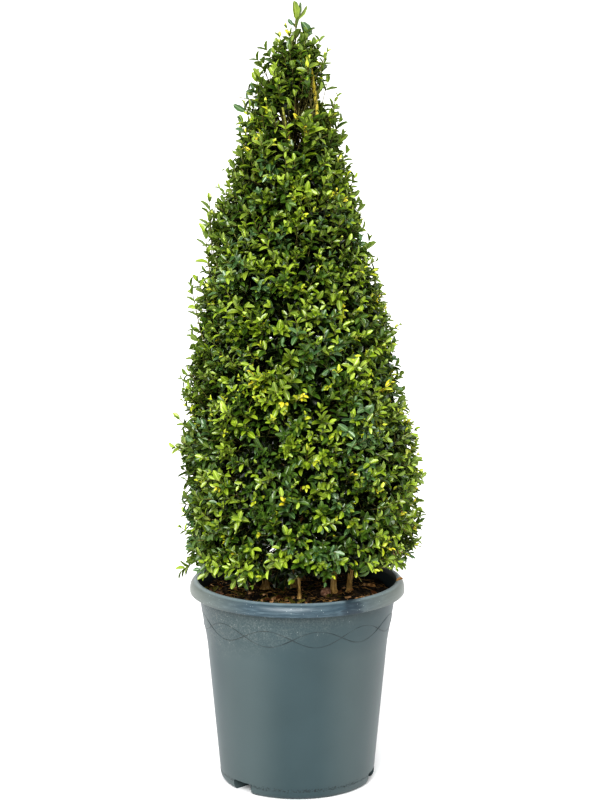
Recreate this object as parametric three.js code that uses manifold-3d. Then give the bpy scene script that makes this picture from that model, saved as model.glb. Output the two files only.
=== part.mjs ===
// A clipped boxwood cone in its nursery pot, in millimetres, +Z up.
// The origin is the centre of the pot's flat underside, and -Y is the front.
// Several stems rise from the potting soil. Four rings of dense, clipped foliage are stacked round
// them, each with a core that the stems pass through, and a looser spray stands on each stem's tip.
import * as THREE from "three";
import { mergeVertices } from "three/addons/utils/BufferGeometryUtils.js";
import Module from "manifold-3d";

const wasm = await Module();
wasm.setup();

const CLEARANCE = 0.3; // between neighbouring solids
const FINEST_EDGE = 0.35; // slivers thinner than this are closed up after a join
const TWIN_DECIMALS = 3; // corners alike to a thousandth of a millimetre are twins
const TWIN_GAP = 0.03;
const LATHE_SIDES = 40;
const GOLDEN_ANGLE = Math.PI * (3 - Math.sqrt(5));
const UP = new THREE.Vector3(0, 0, 1);

// ---- driving dimensions -------------------------------------------------------------------------

const POT = {
  height: 297,
  wall: 2.6,
  base: 3,
  contactRadius: 105, // flat ring and disc that stand on the floor
  foot: { radius: 112.4, z: 12 }, // where the rounded foot meets the wall
  neck: { radius: 130.6, z: 208 }, // top of the straight taper
  shoulder: { radius: 136.9, z: 243 }, // top of the flared band
  rimJoin: { radius: 139.8, z: 262 }, // where the wall passes behind the lip
  topRadius: 145.6,
  lipRadius: 155,
  lipDrop: 18.5, // height of the rolled lip
  lipWall: 2.4,
  lipHollow: { top: 5, shoulder: 8 }, // how far the hollow under the lip keeps below the top
  lipEdge: 0.8, // chamfer at the lip's lower edge
  lipBrow: 4, // height of the lip's upright face above that edge
  notches: 3,
  firstNotch: THREE.MathUtils.degToRad(-45), // round from the front, towards +X
  notch: { width: 34, height: 16, innerRadius: 74, drainRadius: 88, drainBore: 6, drainSides: 12 },
  housingTop: 40, // no notch housing reaches higher than this
};

const SOIL_TOP = 279;
const SOIL_ROUNDING = 4; // the soil falls away this much at the wall
const SOIL_SHOULDER = 18; // width of the sloping edge

const CROWN = {
  floor: 306, // lowest leaves at the outer edge
  middleFloor: 284, // lowest leaves near the stems
  widest: 400, // height of the widest girth
  top: 1100,
  widestRadius: 173,
  tipRadius: 20,
  skirtRadius: 160, // girth at the floor
  taper: 1.6, // above 1 bulges the cone's sides
  lean: -16, // the axis drifts this far in X by the height below
  leanHeight: 800,
  clump: 0.035, // depth of the shallow clumps, as a share of the girth
  coreDepth: 27, // how far the dense cores lie inside the clipped surface
  coreFloor: 22, // and how far the lowest core lies above the floor
  coreSides: 16,
  coreRings: 4,
};

// Leaves stand for sprays of the real, smaller ones. A pair's angle from its twig is LEAF.angle times
// the pair's own factor, the last pair first, and both angle and length vary by the shares given.
const LEAF = {
  length: 50,
  width: 29,
  thickness: 1.6,
  fold: 2.4,
  angle: THREE.MathUtils.degToRad(58),
  pairAngles: [0.8, 1.15],
  angleSpread: 0.4,
  lengthSpread: 0.3,
};
const SHOOT = { length: 20, sink: 12, radius: 1.8, tipRadius: 1.2, pairStep: 0.31, twigSides: 3 };

// How far shoots stray: in azimuth (radians), in rise, and from the seams and the clipped surface.
const STRAY = { azimuth: 0.5, rise: THREE.MathUtils.degToRad(24), seamMargin: 18, surfaceDepth: 27.5 };
// A shoot's rise above the level, by the height at which it grows.
const RISE = { low: 300, high: 900, steepest: THREE.MathUtils.degToRad(50) };
// Foliage keeps clear of the rim, from a little inside the wall, and of the soil within it.
const KEEP = { insideWall: 12, aboveRim: 3, aboveSoil: 1.5 };

// Each limb: its foot on the soil, its tip, its radii and how far its middle bows out.
const STEMS = {
  main_stem: { foot: [-8, 12], footRadius: 9, tip: [-1, 0, 1022], tipRadius: 2, bow: [-6, 8] },
  right_stem: { foot: [52, -20], footRadius: 6, tip: [32, -4, 940], tipRadius: 2, bow: [4, 4] },
  left_stem: { foot: [-46, 4], footRadius: 6, tip: [-52, -4, 940], tipRadius: 2, bow: [-10, 4] },
  back_stem: { foot: [6, 52], footRadius: 5.5, tip: [-10, 40, 940], tipRadius: 2, bow: [4, 14] },
  front_stem: { foot: [3, -57], footRadius: 4, tip: [-12, -42, 940], tipRadius: 2, bow: [-4, -14] },
  front_right_stem: { foot: [75, -15], footRadius: 4.5, tip: [78, -52, 560], tipRadius: 2, bow: [6, -4] },
};
const ROOT_FLARE = 1.45; // how much wider a foot is than the limb above it
const STEM_SIDES = 8;
const STEM_RINGS = 7;
const STEM_FOOT = SOIL_TOP + CLEARANCE;
const STEM_RISE = 12; // a stem leaves the soil upright over this height
const STEM_TAPER = 0.8; // below 1, most of the thickness goes near the tip's end
// Where along a stem it bows, and how much of its bow it has there.
const STEM_BOWS = [
  { share: 0.3, out: 1 },
  { share: 0.65, out: 0.6 },
];
const CHANNEL_GAP = CLEARANCE + 0.5; // round a stem where it runs through foliage

// Rings of clipped foliage, from the skirt upwards: the height range and the number of shoots.
const RINGS = {
  skirt_foliage: { from: CROWN.middleFloor, to: 450, shoots: 28, seed: 11 },
  lower_foliage: { from: 450, to: 615, shoots: 27, seed: 22 },
  middle_foliage: { from: 615, to: 775, shoots: 23, seed: 33 },
  upper_foliage: { from: 775, to: 932, shoots: 18, seed: 44 },
};
const SEAM_TILT = 0.07; // slope of the planes that part one ring from the next
const SEAM_GAP = 0.5;
const LEADER_FLOOR = 1018; // the leader's spray keeps above this, the others below

// Sprays on the stem tips: how tall and wide each is, and the fan of headings that its twigs take,
// in turns of the full circle, about the direction it leans in.
const SPRAYS = {
  leader_spray: { stem: "main_stem", height: 105, reach: 54, twigs: 7, seed: 5, lean: [0, 1], fan: 1 },
  right_spray: { stem: "right_stem", height: 92, reach: 56, twigs: 6, seed: 6, lean: [8, -1], fan: 0.5 },
  left_spray: { stem: "left_stem", height: 92, reach: 50, twigs: 6, seed: 7, lean: [-4, -1], fan: 0.5 },
  back_spray: { stem: "back_stem", height: 92, reach: 56, twigs: 6, seed: 8, lean: [-1, 8], fan: 0.5 },
  front_spray: { stem: "front_stem", height: 92, reach: 56, twigs: 6, seed: 9, lean: [-1, -8], fan: 0.5 },
};
const SPRAY = {
  leaf: 42,
  foot: 0.9, // gap between a stem's tip and its spray
  tipRadius: 1.3,
  spineSides: 6,
  flattest: THREE.MathUtils.degToRad(-4), // rise of the lowest twig
  steepest: THREE.MathUtils.degToRad(62), // and of the highest
  riseStray: THREE.MathUtils.degToRad(14),
  topReach: 0.45, // reach of the highest twig, as a share of the lowest's
  twigSpan: 0.9, // twigs spring from this share of the spine
  endShare: 0.2, // and its last share carries the end shoot
  rivalGap: 1, // how much nearer than its rivals a spray's own space lies
};

// ---- small helpers ------------------------------------------------------------------------------

// A repeatable source of chance between 0 and 1 (the mulberry32 recipe).
function seeded(seed) {
  let state = seed;
  return () => {
    state = (state + 0x6d2b79f5) | 0;
    let mixed = Math.imul(state ^ (state >>> 15), 1 | state);
    mixed = (mixed + Math.imul(mixed ^ (mixed >>> 7), 61 | mixed)) ^ mixed;
    return ((mixed ^ (mixed >>> 14)) >>> 0) / 2 ** 32;
  };
}

function solidOf(geometry) {
  const bare = geometry.clone();
  bare.deleteAttribute("normal");
  bare.deleteAttribute("uv");
  const merged = mergeVertices(bare, 1e-4);
  return new wasm.Manifold(
    new wasm.Mesh({
      numProp: 3,
      vertProperties: merged.attributes.position.array,
      triVerts: new Uint32Array(merged.index.array),
    }),
  );
}

function geometryOf(solid) {
  const mesh = solid.getMesh();
  const geometry = new THREE.BufferGeometry();
  geometry.setAttribute("position", new THREE.BufferAttribute(mesh.vertProperties, 3));
  geometry.setIndex(new THREE.BufferAttribute(mesh.triVerts, 1));
  partTwins(geometry);
  return geometry;
}

// Where two corners of a solid touch in one point, each is drawn in a little under its own faces,
// so that no edge is shared by more than two faces.
function partTwins(geometry) {
  geometry.computeVertexNormals();
  const { position, normal } = geometry.attributes;
  const places = new Map();
  for (let i = 0; i < position.count; i++) {
    const point = new THREE.Vector3().fromBufferAttribute(position, i);
    const place = point.toArray().map((value) => value.toFixed(TWIN_DECIMALS)).join();
    places.set(place, [...(places.get(place) ?? []), i]);
  }
  for (const twins of places.values()) {
    if (twins.length === 1) continue;
    for (const i of twins) {
      const point = new THREE.Vector3().fromBufferAttribute(position, i);
      point.addScaledVector(new THREE.Vector3().fromBufferAttribute(normal, i), -TWIN_GAP);
      position.setXYZ(i, point.x, point.y, point.z);
    }
  }
}

// Fuses solids and keeps the largest body, so that no loose scrap is left.
function fuse(solids) {
  const bodies = wasm.Manifold.union(solids).asOriginal().simplify(FINEST_EDGE).decompose();
  return bodies.reduce((best, body) => (body.volume() > best.volume() ? body : best));
}

// Turns a profile of (radius, height) points about the Z axis, with the seam of facets at the front.
function turned(profile, sides = LATHE_SIDES) {
  return new THREE.LatheGeometry(profile, sides).rotateX(Math.PI / 2);
}

// A tapering limb along a curve: a cylinder whose rings are moved onto the curve.
function limb(curve, radiusAt, sides, rings) {
  const geometry = new THREE.CylinderGeometry(1, 1, 1, sides, rings);
  const frames = curve.computeFrenetFrames(rings, false);
  const position = geometry.attributes.position;
  const point = new THREE.Vector3();
  for (let i = 0; i < position.count; i++) {
    point.fromBufferAttribute(position, i);
    const ring = Math.round((point.y + 0.5) * rings);
    const share = ring / rings;
    const { x, z } = point;
    point
      .copy(curve.getPoint(share))
      .addScaledVector(frames.normals[ring], z * radiusAt(share))
      .addScaledVector(frames.binormals[ring], x * radiusAt(share));
    position.setXYZ(i, point.x, point.y, point.z);
  }
  return geometry;
}

function radial(azimuth) {
  return new THREE.Vector3(Math.sin(azimuth), -Math.cos(azimuth), 0);
}

// ---- the clipped outline ------------------------------------------------------------------------

function crownAxis(z) {
  const share = THREE.MathUtils.clamp((z - CROWN.widest) / (CROWN.leanHeight - CROWN.widest), 0, 1);
  return new THREE.Vector3(CROWN.lean * share, 0, z);
}

// The girth of the clipped surface at a height, before its clumps.
function girth(z) {
  if (z < CROWN.widest) {
    const below = THREE.MathUtils.clamp((CROWN.widest - z) / (CROWN.widest - CROWN.floor), 0, 1);
    return THREE.MathUtils.lerp(CROWN.widestRadius, CROWN.skirtRadius, below ** 2);
  }
  const share = THREE.MathUtils.clamp((z - CROWN.widest) / (CROWN.top - CROWN.widest), 0, 1);
  return CROWN.tipRadius + (CROWN.widestRadius - CROWN.tipRadius) * (1 - share ** CROWN.taper);
}

function clumps(azimuth, z) {
  return 1 + CROWN.clump * (Math.sin(3 * azimuth + z / 45) * 0.6 + Math.sin(5 * azimuth - z / 28) * 0.4);
}

function surfacePoint(azimuth, z, inset = 0) {
  return crownAxis(z).addScaledVector(radial(azimuth), girth(z) * clumps(azimuth, z) - inset);
}

// ---- pot and soil -------------------------------------------------------------------------------

// The wall from foot to top, moved inwards by the given offset.
function wallLine(offset) {
  const { foot, neck, shoulder, rimJoin, topRadius, height } = POT;
  return [foot, neck, shoulder, rimJoin, { radius: topRadius, z: height }].map(
    ({ radius, z }) => new THREE.Vector2(radius - offset, z),
  );
}

function wallRadiusAt(z, offset) {
  const line = wallLine(offset);
  const upper = line.findIndex((point) => point.y >= z);
  const [a, b] = [line[upper - 1], line[upper]];
  return THREE.MathUtils.mapLinear(z, a.y, b.y, a.x, b.x);
}

function potProfile() {
  const { height, wall, base, contactRadius, foot, topRadius } = POT;
  const { lipRadius, lipDrop, lipWall, lipHollow, lipEdge, lipBrow } = POT;
  const lipFoot = height - lipDrop;
  const outer = new THREE.Path();
  outer.moveTo(0, 0).lineTo(contactRadius, 0);
  outer.quadraticCurveTo(foot.radius, 0, foot.radius, foot.z);
  const profile = outer.getPoints(3);
  profile.push(...wallLine(0).slice(1, 4));
  const lip = new THREE.Path();
  lip.moveTo(topRadius - wall + 1, height - lipHollow.top);
  lip.lineTo(lipRadius - lipWall - lipBrow, height - lipHollow.shoulder);
  lip.lineTo(lipRadius - lipWall, lipFoot).lineTo(lipRadius - lipEdge, lipFoot);
  lip.lineTo(lipRadius, lipFoot + lipBrow);
  lip.quadraticCurveTo(lipRadius - 1.5, height, topRadius, height);
  profile.push(...lip.getPoints(4));
  const inner = wallLine(wall).reverse();
  profile.push(...inner.slice(0, 4));
  profile.push(new THREE.Vector2(wallRadiusAt(foot.z + base, wall), foot.z + base));
  profile.push(new THREE.Vector2(contactRadius - wall, base), new THREE.Vector2(0, base));
  return profile;
}

// A block under the foot at each notch: its outline, grown by a margin on every side.
function notchBlock(azimuth, margin) {
  const { width, height, innerRadius } = POT.notch;
  const outerRadius = POT.lipRadius;
  const length = outerRadius - innerRadius + margin;
  const block = new THREE.BoxGeometry(width + 2 * margin, length, 2 * (height + margin));
  block.translate(0, -(innerRadius - margin + length / 2), 0);
  return solidOf(block.rotateZ(azimuth));
}

function notchAngles() {
  return Array.from({ length: POT.notches }, (_, i) => POT.firstNotch + (i * 2 * Math.PI) / POT.notches);
}

// The solid block that closes in a notch, inside the pot's own outline.
function notchHousing(azimuth, margin) {
  const { contactRadius, foot, housingTop } = POT;
  const inside = solidOf(
    turned([
      new THREE.Vector2(0, 0),
      new THREE.Vector2(contactRadius, 0),
      new THREE.Vector2(foot.radius, foot.z),
      new THREE.Vector2(wallRadiusAt(housingTop, 0), housingTop),
      new THREE.Vector2(0, housingTop),
    ]),
  );
  return notchBlock(azimuth, POT.wall + margin).intersect(inside);
}

function drainHole(azimuth) {
  const { drainRadius, drainBore, drainSides } = POT.notch;
  const bore = new THREE.CylinderGeometry(drainBore, drainBore, 2 * POT.housingTop, drainSides);
  bore.rotateX(Math.PI / 2);
  bore.translate(0, -drainRadius, 0);
  return solidOf(bore.rotateZ(azimuth));
}

function potGeometry() {
  let pot = solidOf(turned(potProfile()));
  for (const azimuth of notchAngles()) {
    pot = pot.add(notchHousing(azimuth, 0)).subtract(notchBlock(azimuth, 0)).subtract(drainHole(azimuth));
  }
  return geometryOf(pot);
}

function soilGeometry() {
  const inset = POT.wall + CLEARANCE;
  const low = POT.foot.z + POT.base;
  const edge = SOIL_TOP - SOIL_ROUNDING;
  const flatRadius = wallRadiusAt(edge, inset) - SOIL_SHOULDER;
  const profile = [
    new THREE.Vector2(0, POT.base + CLEARANCE),
    new THREE.Vector2(POT.contactRadius - inset, POT.base + CLEARANCE),
    new THREE.Vector2(wallRadiusAt(low, inset), low),
    ...wallLine(inset).slice(1, 3),
    new THREE.Vector2(wallRadiusAt(edge, inset), edge),
    new THREE.Vector2(flatRadius, SOIL_TOP),
    new THREE.Vector2(0, SOIL_TOP),
  ];
  const soil = notchAngles().reduce(
    (solid, azimuth) => solid.subtract(notchHousing(azimuth, CLEARANCE)),
    solidOf(turned(profile)),
  );
  return geometryOf(soil);
}

// ---- stems --------------------------------------------------------------------------------------

function stemCurve({ foot, tip, bow }) {
  const start = new THREE.Vector3(foot[0], foot[1], STEM_FOOT);
  const end = new THREE.Vector3(...tip);
  const rise = start.clone().addScaledVector(UP, STEM_RISE);
  const bows = STEM_BOWS.map(({ share, out }) =>
    start.clone().lerp(end, share).add(new THREE.Vector3(bow[0] * out, bow[1] * out, 0)),
  );
  return new THREE.CatmullRomCurve3([start, rise, ...bows, end]);
}

function stemRadius({ footRadius, tipRadius }, share) {
  const flare = 1 + (ROOT_FLARE - 1) * Math.max(0, 1 - share * STEM_RINGS);
  return THREE.MathUtils.lerp(footRadius, tipRadius, share ** STEM_TAPER) * flare;
}

// A stem as a solid, grown all round by a margin, as the cores need their channels wider.
function stemSolid(stem, margin = 0) {
  const curve = stemCurve(stem);
  const solid = solidOf(limb(curve, (share) => stemRadius(stem, share) + margin, STEM_SIDES, STEM_RINGS));
  const size = 2 * POT.lipRadius;
  const below = new THREE.BoxGeometry(size, size, size).translate(0, 0, STEM_FOOT - size / 2);
  return solid.subtract(solidOf(below));
}

// ---- leaves and shoots --------------------------------------------------------------------------

// One leaf of eight faces, growing along +X from the origin with its upper side towards +Y.
// Its midrib lies lower than its sides, so the blade is folded.
function leafGeometry(length) {
  const width = (LEAF.width * length) / LEAF.length;
  const leaf = new THREE.OctahedronGeometry(1);
  const position = leaf.attributes.position;
  for (let i = 0; i < position.count; i++) {
    const onMidrib = Math.abs(position.getY(i)) > 0.5;
    position.setXYZ(
      i,
      ((position.getX(i) + 1) * length) / 2,
      (position.getY(i) * LEAF.thickness) / 2 - (onMidrib ? LEAF.fold : 0),
      (position.getZ(i) * width) / 2,
    );
  }
  return leaf;
}

function placed(geometry, origin, along, upper) {
  const across = new THREE.Vector3().crossVectors(along, upper).normalize();
  const matrix = new THREE.Matrix4().makeBasis(along, upper, across).setPosition(origin);
  return geometry.applyMatrix4(matrix);
}

function everyVertex(geometry, test) {
  const position = geometry.attributes.position;
  const point = new THREE.Vector3();
  for (let i = 0; i < position.count; i++) {
    if (!test(point.fromBufferAttribute(position, i))) return false;
  }
  return true;
}

// A factor about 1, spread by the given share in all.
function varied(random, spread) {
  return 1 + spread * (random() - 0.5);
}

// A twig with opposite pairs of leaves, each pair turned a quarter from the last.
// Leaves that would leave the mass's own space are skipped.
function shootSolids({ root, direction, length, leafLength, random, allowed }) {
  const tip = root.clone().addScaledVector(direction, length);
  const radiusAt = (share) => THREE.MathUtils.lerp(SHOOT.radius, SHOOT.tipRadius, share);
  const twig = limb(new THREE.LineCurve3(root, tip), radiusAt, SHOOT.twigSides, 1);
  if (!everyVertex(twig, allowed)) return [];
  const side = new THREE.Vector3().crossVectors(direction, UP);
  if (side.length() < 0.1) side.set(1, 0, 0);
  side.normalize().applyAxisAngle(direction, random() * Math.PI);
  const solids = [solidOf(twig)];
  for (const [pair, factor] of LEAF.pairAngles.entries()) {
    const share = 1 - pair * SHOOT.pairStep;
    const base = root.clone().addScaledVector(direction, length * share - SHOOT.tipRadius);
    for (const turn of [0, Math.PI]) {
      const outwards = side.clone().applyAxisAngle(direction, turn + (pair * Math.PI) / 2);
      const angle = LEAF.angle * factor * varied(random, LEAF.angleSpread);
      const along = direction.clone().multiplyScalar(Math.cos(angle)).addScaledVector(outwards, Math.sin(angle));
      const upper = direction.clone().addScaledVector(along, -direction.dot(along)).normalize();
      const size = leafLength * varied(random, LEAF.lengthSpread);
      const leaf = placed(leafGeometry(size), base, along, upper);
      if (everyVertex(leaf, allowed)) solids.push(solidOf(leaf));
    }
  }
  return solids;
}

// ---- rings of clipped foliage -------------------------------------------------------------------

// The height of the tilted plane that parts two rings, over a point. Each plane tilts its own way.
function seam(z, { x, y }) {
  return z + SEAM_TILT * (x * Math.sin(z) + y * Math.cos(z));
}

const stemChannels = Object.values(STEMS).map((stem) => stemSolid(stem, CHANNEL_GAP));

// Cuts the channels that the stems run through, and drops what they cut loose.
function cutForStems(solid) {
  return fuse([stemChannels.reduce((rest, channel) => rest.subtract(channel), solid)]);
}

function clearOfPot(point) {
  const radius = Math.hypot(point.x, point.y);
  const overRim = radius > wallRadiusAt(SOIL_TOP, POT.wall) - KEEP.insideWall;
  return point.z > (overRim ? POT.height + KEEP.aboveRim : SOIL_TOP + KEEP.aboveSoil);
}

// The dense heart of a ring, from seam to seam.
function coreGeometry({ from, to }) {
  const bottom = Math.max(from, CROWN.floor + CROWN.coreFloor) + SEAM_GAP;
  const geometry = new THREE.CylinderGeometry(1, 1, 1, CROWN.coreSides, CROWN.coreRings);
  const position = geometry.attributes.position;
  for (let i = 0; i < position.count; i++) {
    const share = position.getY(i) + 0.5;
    const reach = Math.hypot(position.getX(i), position.getZ(i));
    const azimuth = Math.atan2(position.getX(i), position.getZ(i));
    const level = THREE.MathUtils.lerp(bottom, to, share);
    const point = reach < 0.5 ? crownAxis(level) : surfacePoint(azimuth, level, CROWN.coreDepth);
    const low = from > CROWN.middleFloor ? seam(from, point) + SEAM_GAP : bottom;
    position.setXYZ(i, point.x, point.y, THREE.MathUtils.lerp(low, seam(to, point) - SEAM_GAP, share));
  }
  return geometry;
}

function ringGeometry(ring) {
  const random = seeded(ring.seed);
  const allowed = (point) =>
    point.z > seam(ring.from, point) + SEAM_GAP &&
    point.z < seam(ring.to, point) - SEAM_GAP &&
    clearOfPot(point);
  const solids = [solidOf(coreGeometry(ring))];
  for (let i = 0; i < ring.shoots; i++) {
    const azimuth = i * GOLDEN_ANGLE + (random() - 0.5) * STRAY.azimuth;
    const share = (i + 0.5) / ring.shoots;
    const z = THREE.MathUtils.lerp(ring.from + STRAY.seamMargin, ring.to - STRAY.seamMargin, share);
    const steepness = THREE.MathUtils.mapLinear(z, RISE.low, RISE.high, 0, RISE.steepest);
    const rise = steepness + (random() - 0.5) * STRAY.rise;
    const direction = radial(azimuth + (random() - 0.5) * STRAY.azimuth).multiplyScalar(Math.cos(rise));
    direction.addScaledVector(UP, Math.sin(rise)).normalize();
    const end = surfacePoint(azimuth, z, STRAY.surfaceDepth);
    const length = SHOOT.length + SHOOT.sink;
    const root = end.clone().addScaledVector(direction, -length);
    solids.push(...shootSolids({ root, direction, length, leafLength: LEAF.length, random, allowed }));
  }
  return geometryOf(cutForStems(fuse(solids)));
}

// ---- sprays on the stem tips --------------------------------------------------------------------

// The share of space that a spray keeps to: above the highest ring, and nearer its own stem's tip
// than any other. The leader has all that lies above its floor.
function sprayAllows(spray, point) {
  const aboveRings = point.z > seam(RINGS.upper_foliage.to, point) + SEAM_GAP;
  if (spray === SPRAYS.leader_spray) return point.z > LEADER_FLOOR + SEAM_GAP;
  const distance = ({ stem }) => Math.hypot(point.x - STEMS[stem].tip[0], point.y - STEMS[stem].tip[1]);
  const rivals = Object.values(SPRAYS).filter((other) => other !== spray && other !== SPRAYS.leader_spray);
  const nearest = rivals.every((other) => distance(spray) < distance(other) - SPRAY.rivalGap);
  return aboveRings && nearest && point.z < LEADER_FLOOR - SEAM_GAP;
}

function sprayGeometry(spray) {
  const random = seeded(spray.seed);
  const stem = STEMS[spray.stem];
  const heading = new THREE.Vector3(spray.lean[0], spray.lean[1], spray.height).normalize();
  const base = new THREE.Vector3(...stem.tip).addScaledVector(UP, SPRAY.foot);
  const spine = new THREE.LineCurve3(base, base.clone().addScaledVector(heading, spray.height - SPRAY.leaf));
  const radiusAt = (share) => THREE.MathUtils.lerp(stem.tipRadius, SPRAY.tipRadius, share);
  const allowed = (point) => sprayAllows(spray, point);
  const leafLength = SPRAY.leaf;
  const outward = Math.atan2(spray.lean[0], -spray.lean[1]);
  const solids = [solidOf(limb(spine, radiusAt, SPRAY.spineSides, 1))];
  for (let i = 0; i < spray.twigs; i++) {
    const share = (i + 0.3) / spray.twigs;
    const turn = ((i + 0.5) * GOLDEN_ANGLE) / (2 * Math.PI);
    const azimuth = outward + spray.fan * 2 * Math.PI * (turn - Math.floor(turn) - 0.5);
    const steepness = THREE.MathUtils.lerp(SPRAY.flattest, SPRAY.steepest, share);
    const rise = steepness + (random() - 0.5) * SPRAY.riseStray;
    const direction = radial(azimuth).multiplyScalar(Math.cos(rise)).addScaledVector(UP, Math.sin(rise));
    const root = spine.getPoint(share * SPRAY.twigSpan);
    const length = spray.reach * THREE.MathUtils.lerp(1, SPRAY.topReach, share) - SPRAY.leaf / 2;
    solids.push(...shootSolids({ root, direction, length, leafLength, random, allowed }));
  }
  const root = spine.getPoint(1 - SPRAY.endShare);
  const length = spine.getLength() * SPRAY.endShare;
  solids.push(...shootSolids({ root, direction: heading, length, leafLength, random, allowed }));
  return geometryOf(cutForStems(fuse(solids)));
}

// ---- assembly -----------------------------------------------------------------------------------

const finishes = {
  plastic: new THREE.MeshStandardMaterial({ color: 0x53656a, roughness: 0.5, metalness: 0 }),
  soil: new THREE.MeshStandardMaterial({ color: 0x2b2016, roughness: 0.95, metalness: 0 }),
  bark: new THREE.MeshStandardMaterial({ color: 0x8a7450, roughness: 0.85, metalness: 0 }),
  foliage: new THREE.MeshStandardMaterial({ color: 0x3f5a1c, roughness: 0.45, metalness: 0 }),
};

const plant = new THREE.Group();

function addPiece(name, geometry, material) {
  const mesh = new THREE.Mesh(geometry, material);
  mesh.name = name;
  plant.add(mesh);
}

addPiece("pot", potGeometry(), finishes.plastic);
addPiece("potting_soil", soilGeometry(), finishes.soil);
for (const [name, stem] of Object.entries(STEMS)) {
  addPiece(name, geometryOf(stemSolid(stem)), finishes.bark);
}
for (const [name, ring] of Object.entries(RINGS)) {
  addPiece(name, ringGeometry(ring), finishes.foliage);
}
for (const [name, spray] of Object.entries(SPRAYS)) {
  addPiece(name, sprayGeometry(spray), finishes.foliage);
}

export default plant;
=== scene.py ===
"""Looks of a clipped box cone in its nursery pot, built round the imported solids.

The crown grows by one rule: seats are dealt round the clipped cone by the golden angle, a bough or
twig runs out to each seat from the nearest stem, and leaves stand on it in opposite pairs, each pair
turned a quarter from the last. Sizes are in metres unless a name says otherwise.
"""

import logging
import math
from dataclasses import dataclass, field
from enum import Enum

import bpy
import numpy as np
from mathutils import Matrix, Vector, noise

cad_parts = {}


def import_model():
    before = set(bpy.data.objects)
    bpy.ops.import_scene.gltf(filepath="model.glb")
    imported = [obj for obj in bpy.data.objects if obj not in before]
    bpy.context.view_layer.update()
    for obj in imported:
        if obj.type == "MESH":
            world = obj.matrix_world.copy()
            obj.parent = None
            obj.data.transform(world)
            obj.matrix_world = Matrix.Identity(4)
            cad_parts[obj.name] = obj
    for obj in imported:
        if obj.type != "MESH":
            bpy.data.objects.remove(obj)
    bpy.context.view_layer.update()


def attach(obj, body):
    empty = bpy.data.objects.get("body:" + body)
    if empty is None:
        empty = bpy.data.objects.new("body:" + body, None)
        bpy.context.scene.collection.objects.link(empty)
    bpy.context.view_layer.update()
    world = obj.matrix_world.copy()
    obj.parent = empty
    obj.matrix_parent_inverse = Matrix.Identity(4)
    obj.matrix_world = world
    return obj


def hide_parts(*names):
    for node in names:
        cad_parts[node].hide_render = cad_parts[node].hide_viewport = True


logging.basicConfig(level=logging.INFO, format="%(message)s")
log = logging.getLogger("topiary")

MM = 0.001
TURN = 2 * math.pi
GOLDEN_ANGLE = math.pi * (3 - math.sqrt(5))
UP = np.array([0.0, 0.0, 1.0])
NEAR_UP = UP + 1e-3  # never quite along an upright shoot
TINY = 1e-9

# the pairs of sockets that a Map Range node maps from and to
FROM = ("From Min", "From Max")
TO = ("To Min", "To Max")

RINGS = ("skirt_foliage", "lower_foliage", "middle_foliage", "upper_foliage")
SPRAYS = ("leader_spray", "right_spray", "left_spray", "back_spray", "front_spray")


# ---- helpers ------------------------------------------------------------------------------------


def linear(hex_colour: str) -> tuple[float, float, float, float]:
    """Turn an sRGB hex colour into the linear colour that a shader socket takes.

    Args:
        hex_colour: Six hex digits, with or without a leading hash.

    Returns:
        Linear red, green and blue, and an alpha of one.
    """
    digits = hex_colour.lstrip("#")
    values = [int(digits[i : i + 2], 16) / 255 for i in (0, 2, 4)]
    line = [v / 12.92 if v <= 0.04045 else ((v + 0.055) / 1.055) ** 2.4 for v in values]
    return (line[0], line[1], line[2], 1.0)


def add_node(tree: bpy.types.NodeTree, kind: str, settings: dict | None = None,
             inputs: dict | None = None) -> bpy.types.Node:
    """Add a shader node with its settings, and link or set its inputs.

    Args:
        tree: The material's node tree.
        kind: The node's type, such as ShaderNodeTexNoise.
        settings: Properties of the node itself.
        inputs: Sockets by name or index, each given a value or another node's output, or pairs
            of sockets, each given a pair.

    Returns:
        The new node.
    """
    node = tree.nodes.new(kind)
    for name, value in (settings or {}).items():
        setattr(node, name, value)
    for keys, values in (inputs or {}).items():
        pairs = zip(keys, values) if isinstance(keys, tuple) else ((keys, values),)
        for key, value in pairs:
            if isinstance(value, bpy.types.NodeSocket):
                tree.links.new(value, node.inputs[key])
            else:
                node.inputs[key].default_value = value
    return node


def deselect() -> None:
    """Leave edit mode and deselect every object."""
    if bpy.context.mode != "OBJECT":
        bpy.ops.object.mode_set(mode="OBJECT")
    bpy.ops.object.select_all(action="DESELECT")


def settle(piece: bpy.types.Object) -> bpy.types.Object:
    """Apply a piece's place and scale to its mesh, so that its object sits at the origin.

    Args:
        piece: The object that was placed, turned or scaled.

    Returns:
        The same object.
    """
    deselect()
    piece.select_set(True)
    bpy.context.view_layer.objects.active = piece
    bpy.ops.object.transform_apply(location=True, rotation=True, scale=True)
    piece.select_set(False)
    return piece


def apply_modifier(piece: bpy.types.Object, kind: str, **settings: object) -> None:
    """Add a modifier with its settings and apply it at once.

    Args:
        piece: The object that is changed.
        kind: The modifier's type, such as BOOLEAN.
        **settings: Properties of the modifier.
    """
    modifier = piece.modifiers.new(kind.lower(), kind)
    for name, value in settings.items():
        setattr(modifier, name, value)
    deselect()
    piece.select_set(True)
    bpy.context.view_layer.objects.active = piece
    bpy.ops.object.modifier_apply(modifier=modifier.name)


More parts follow.
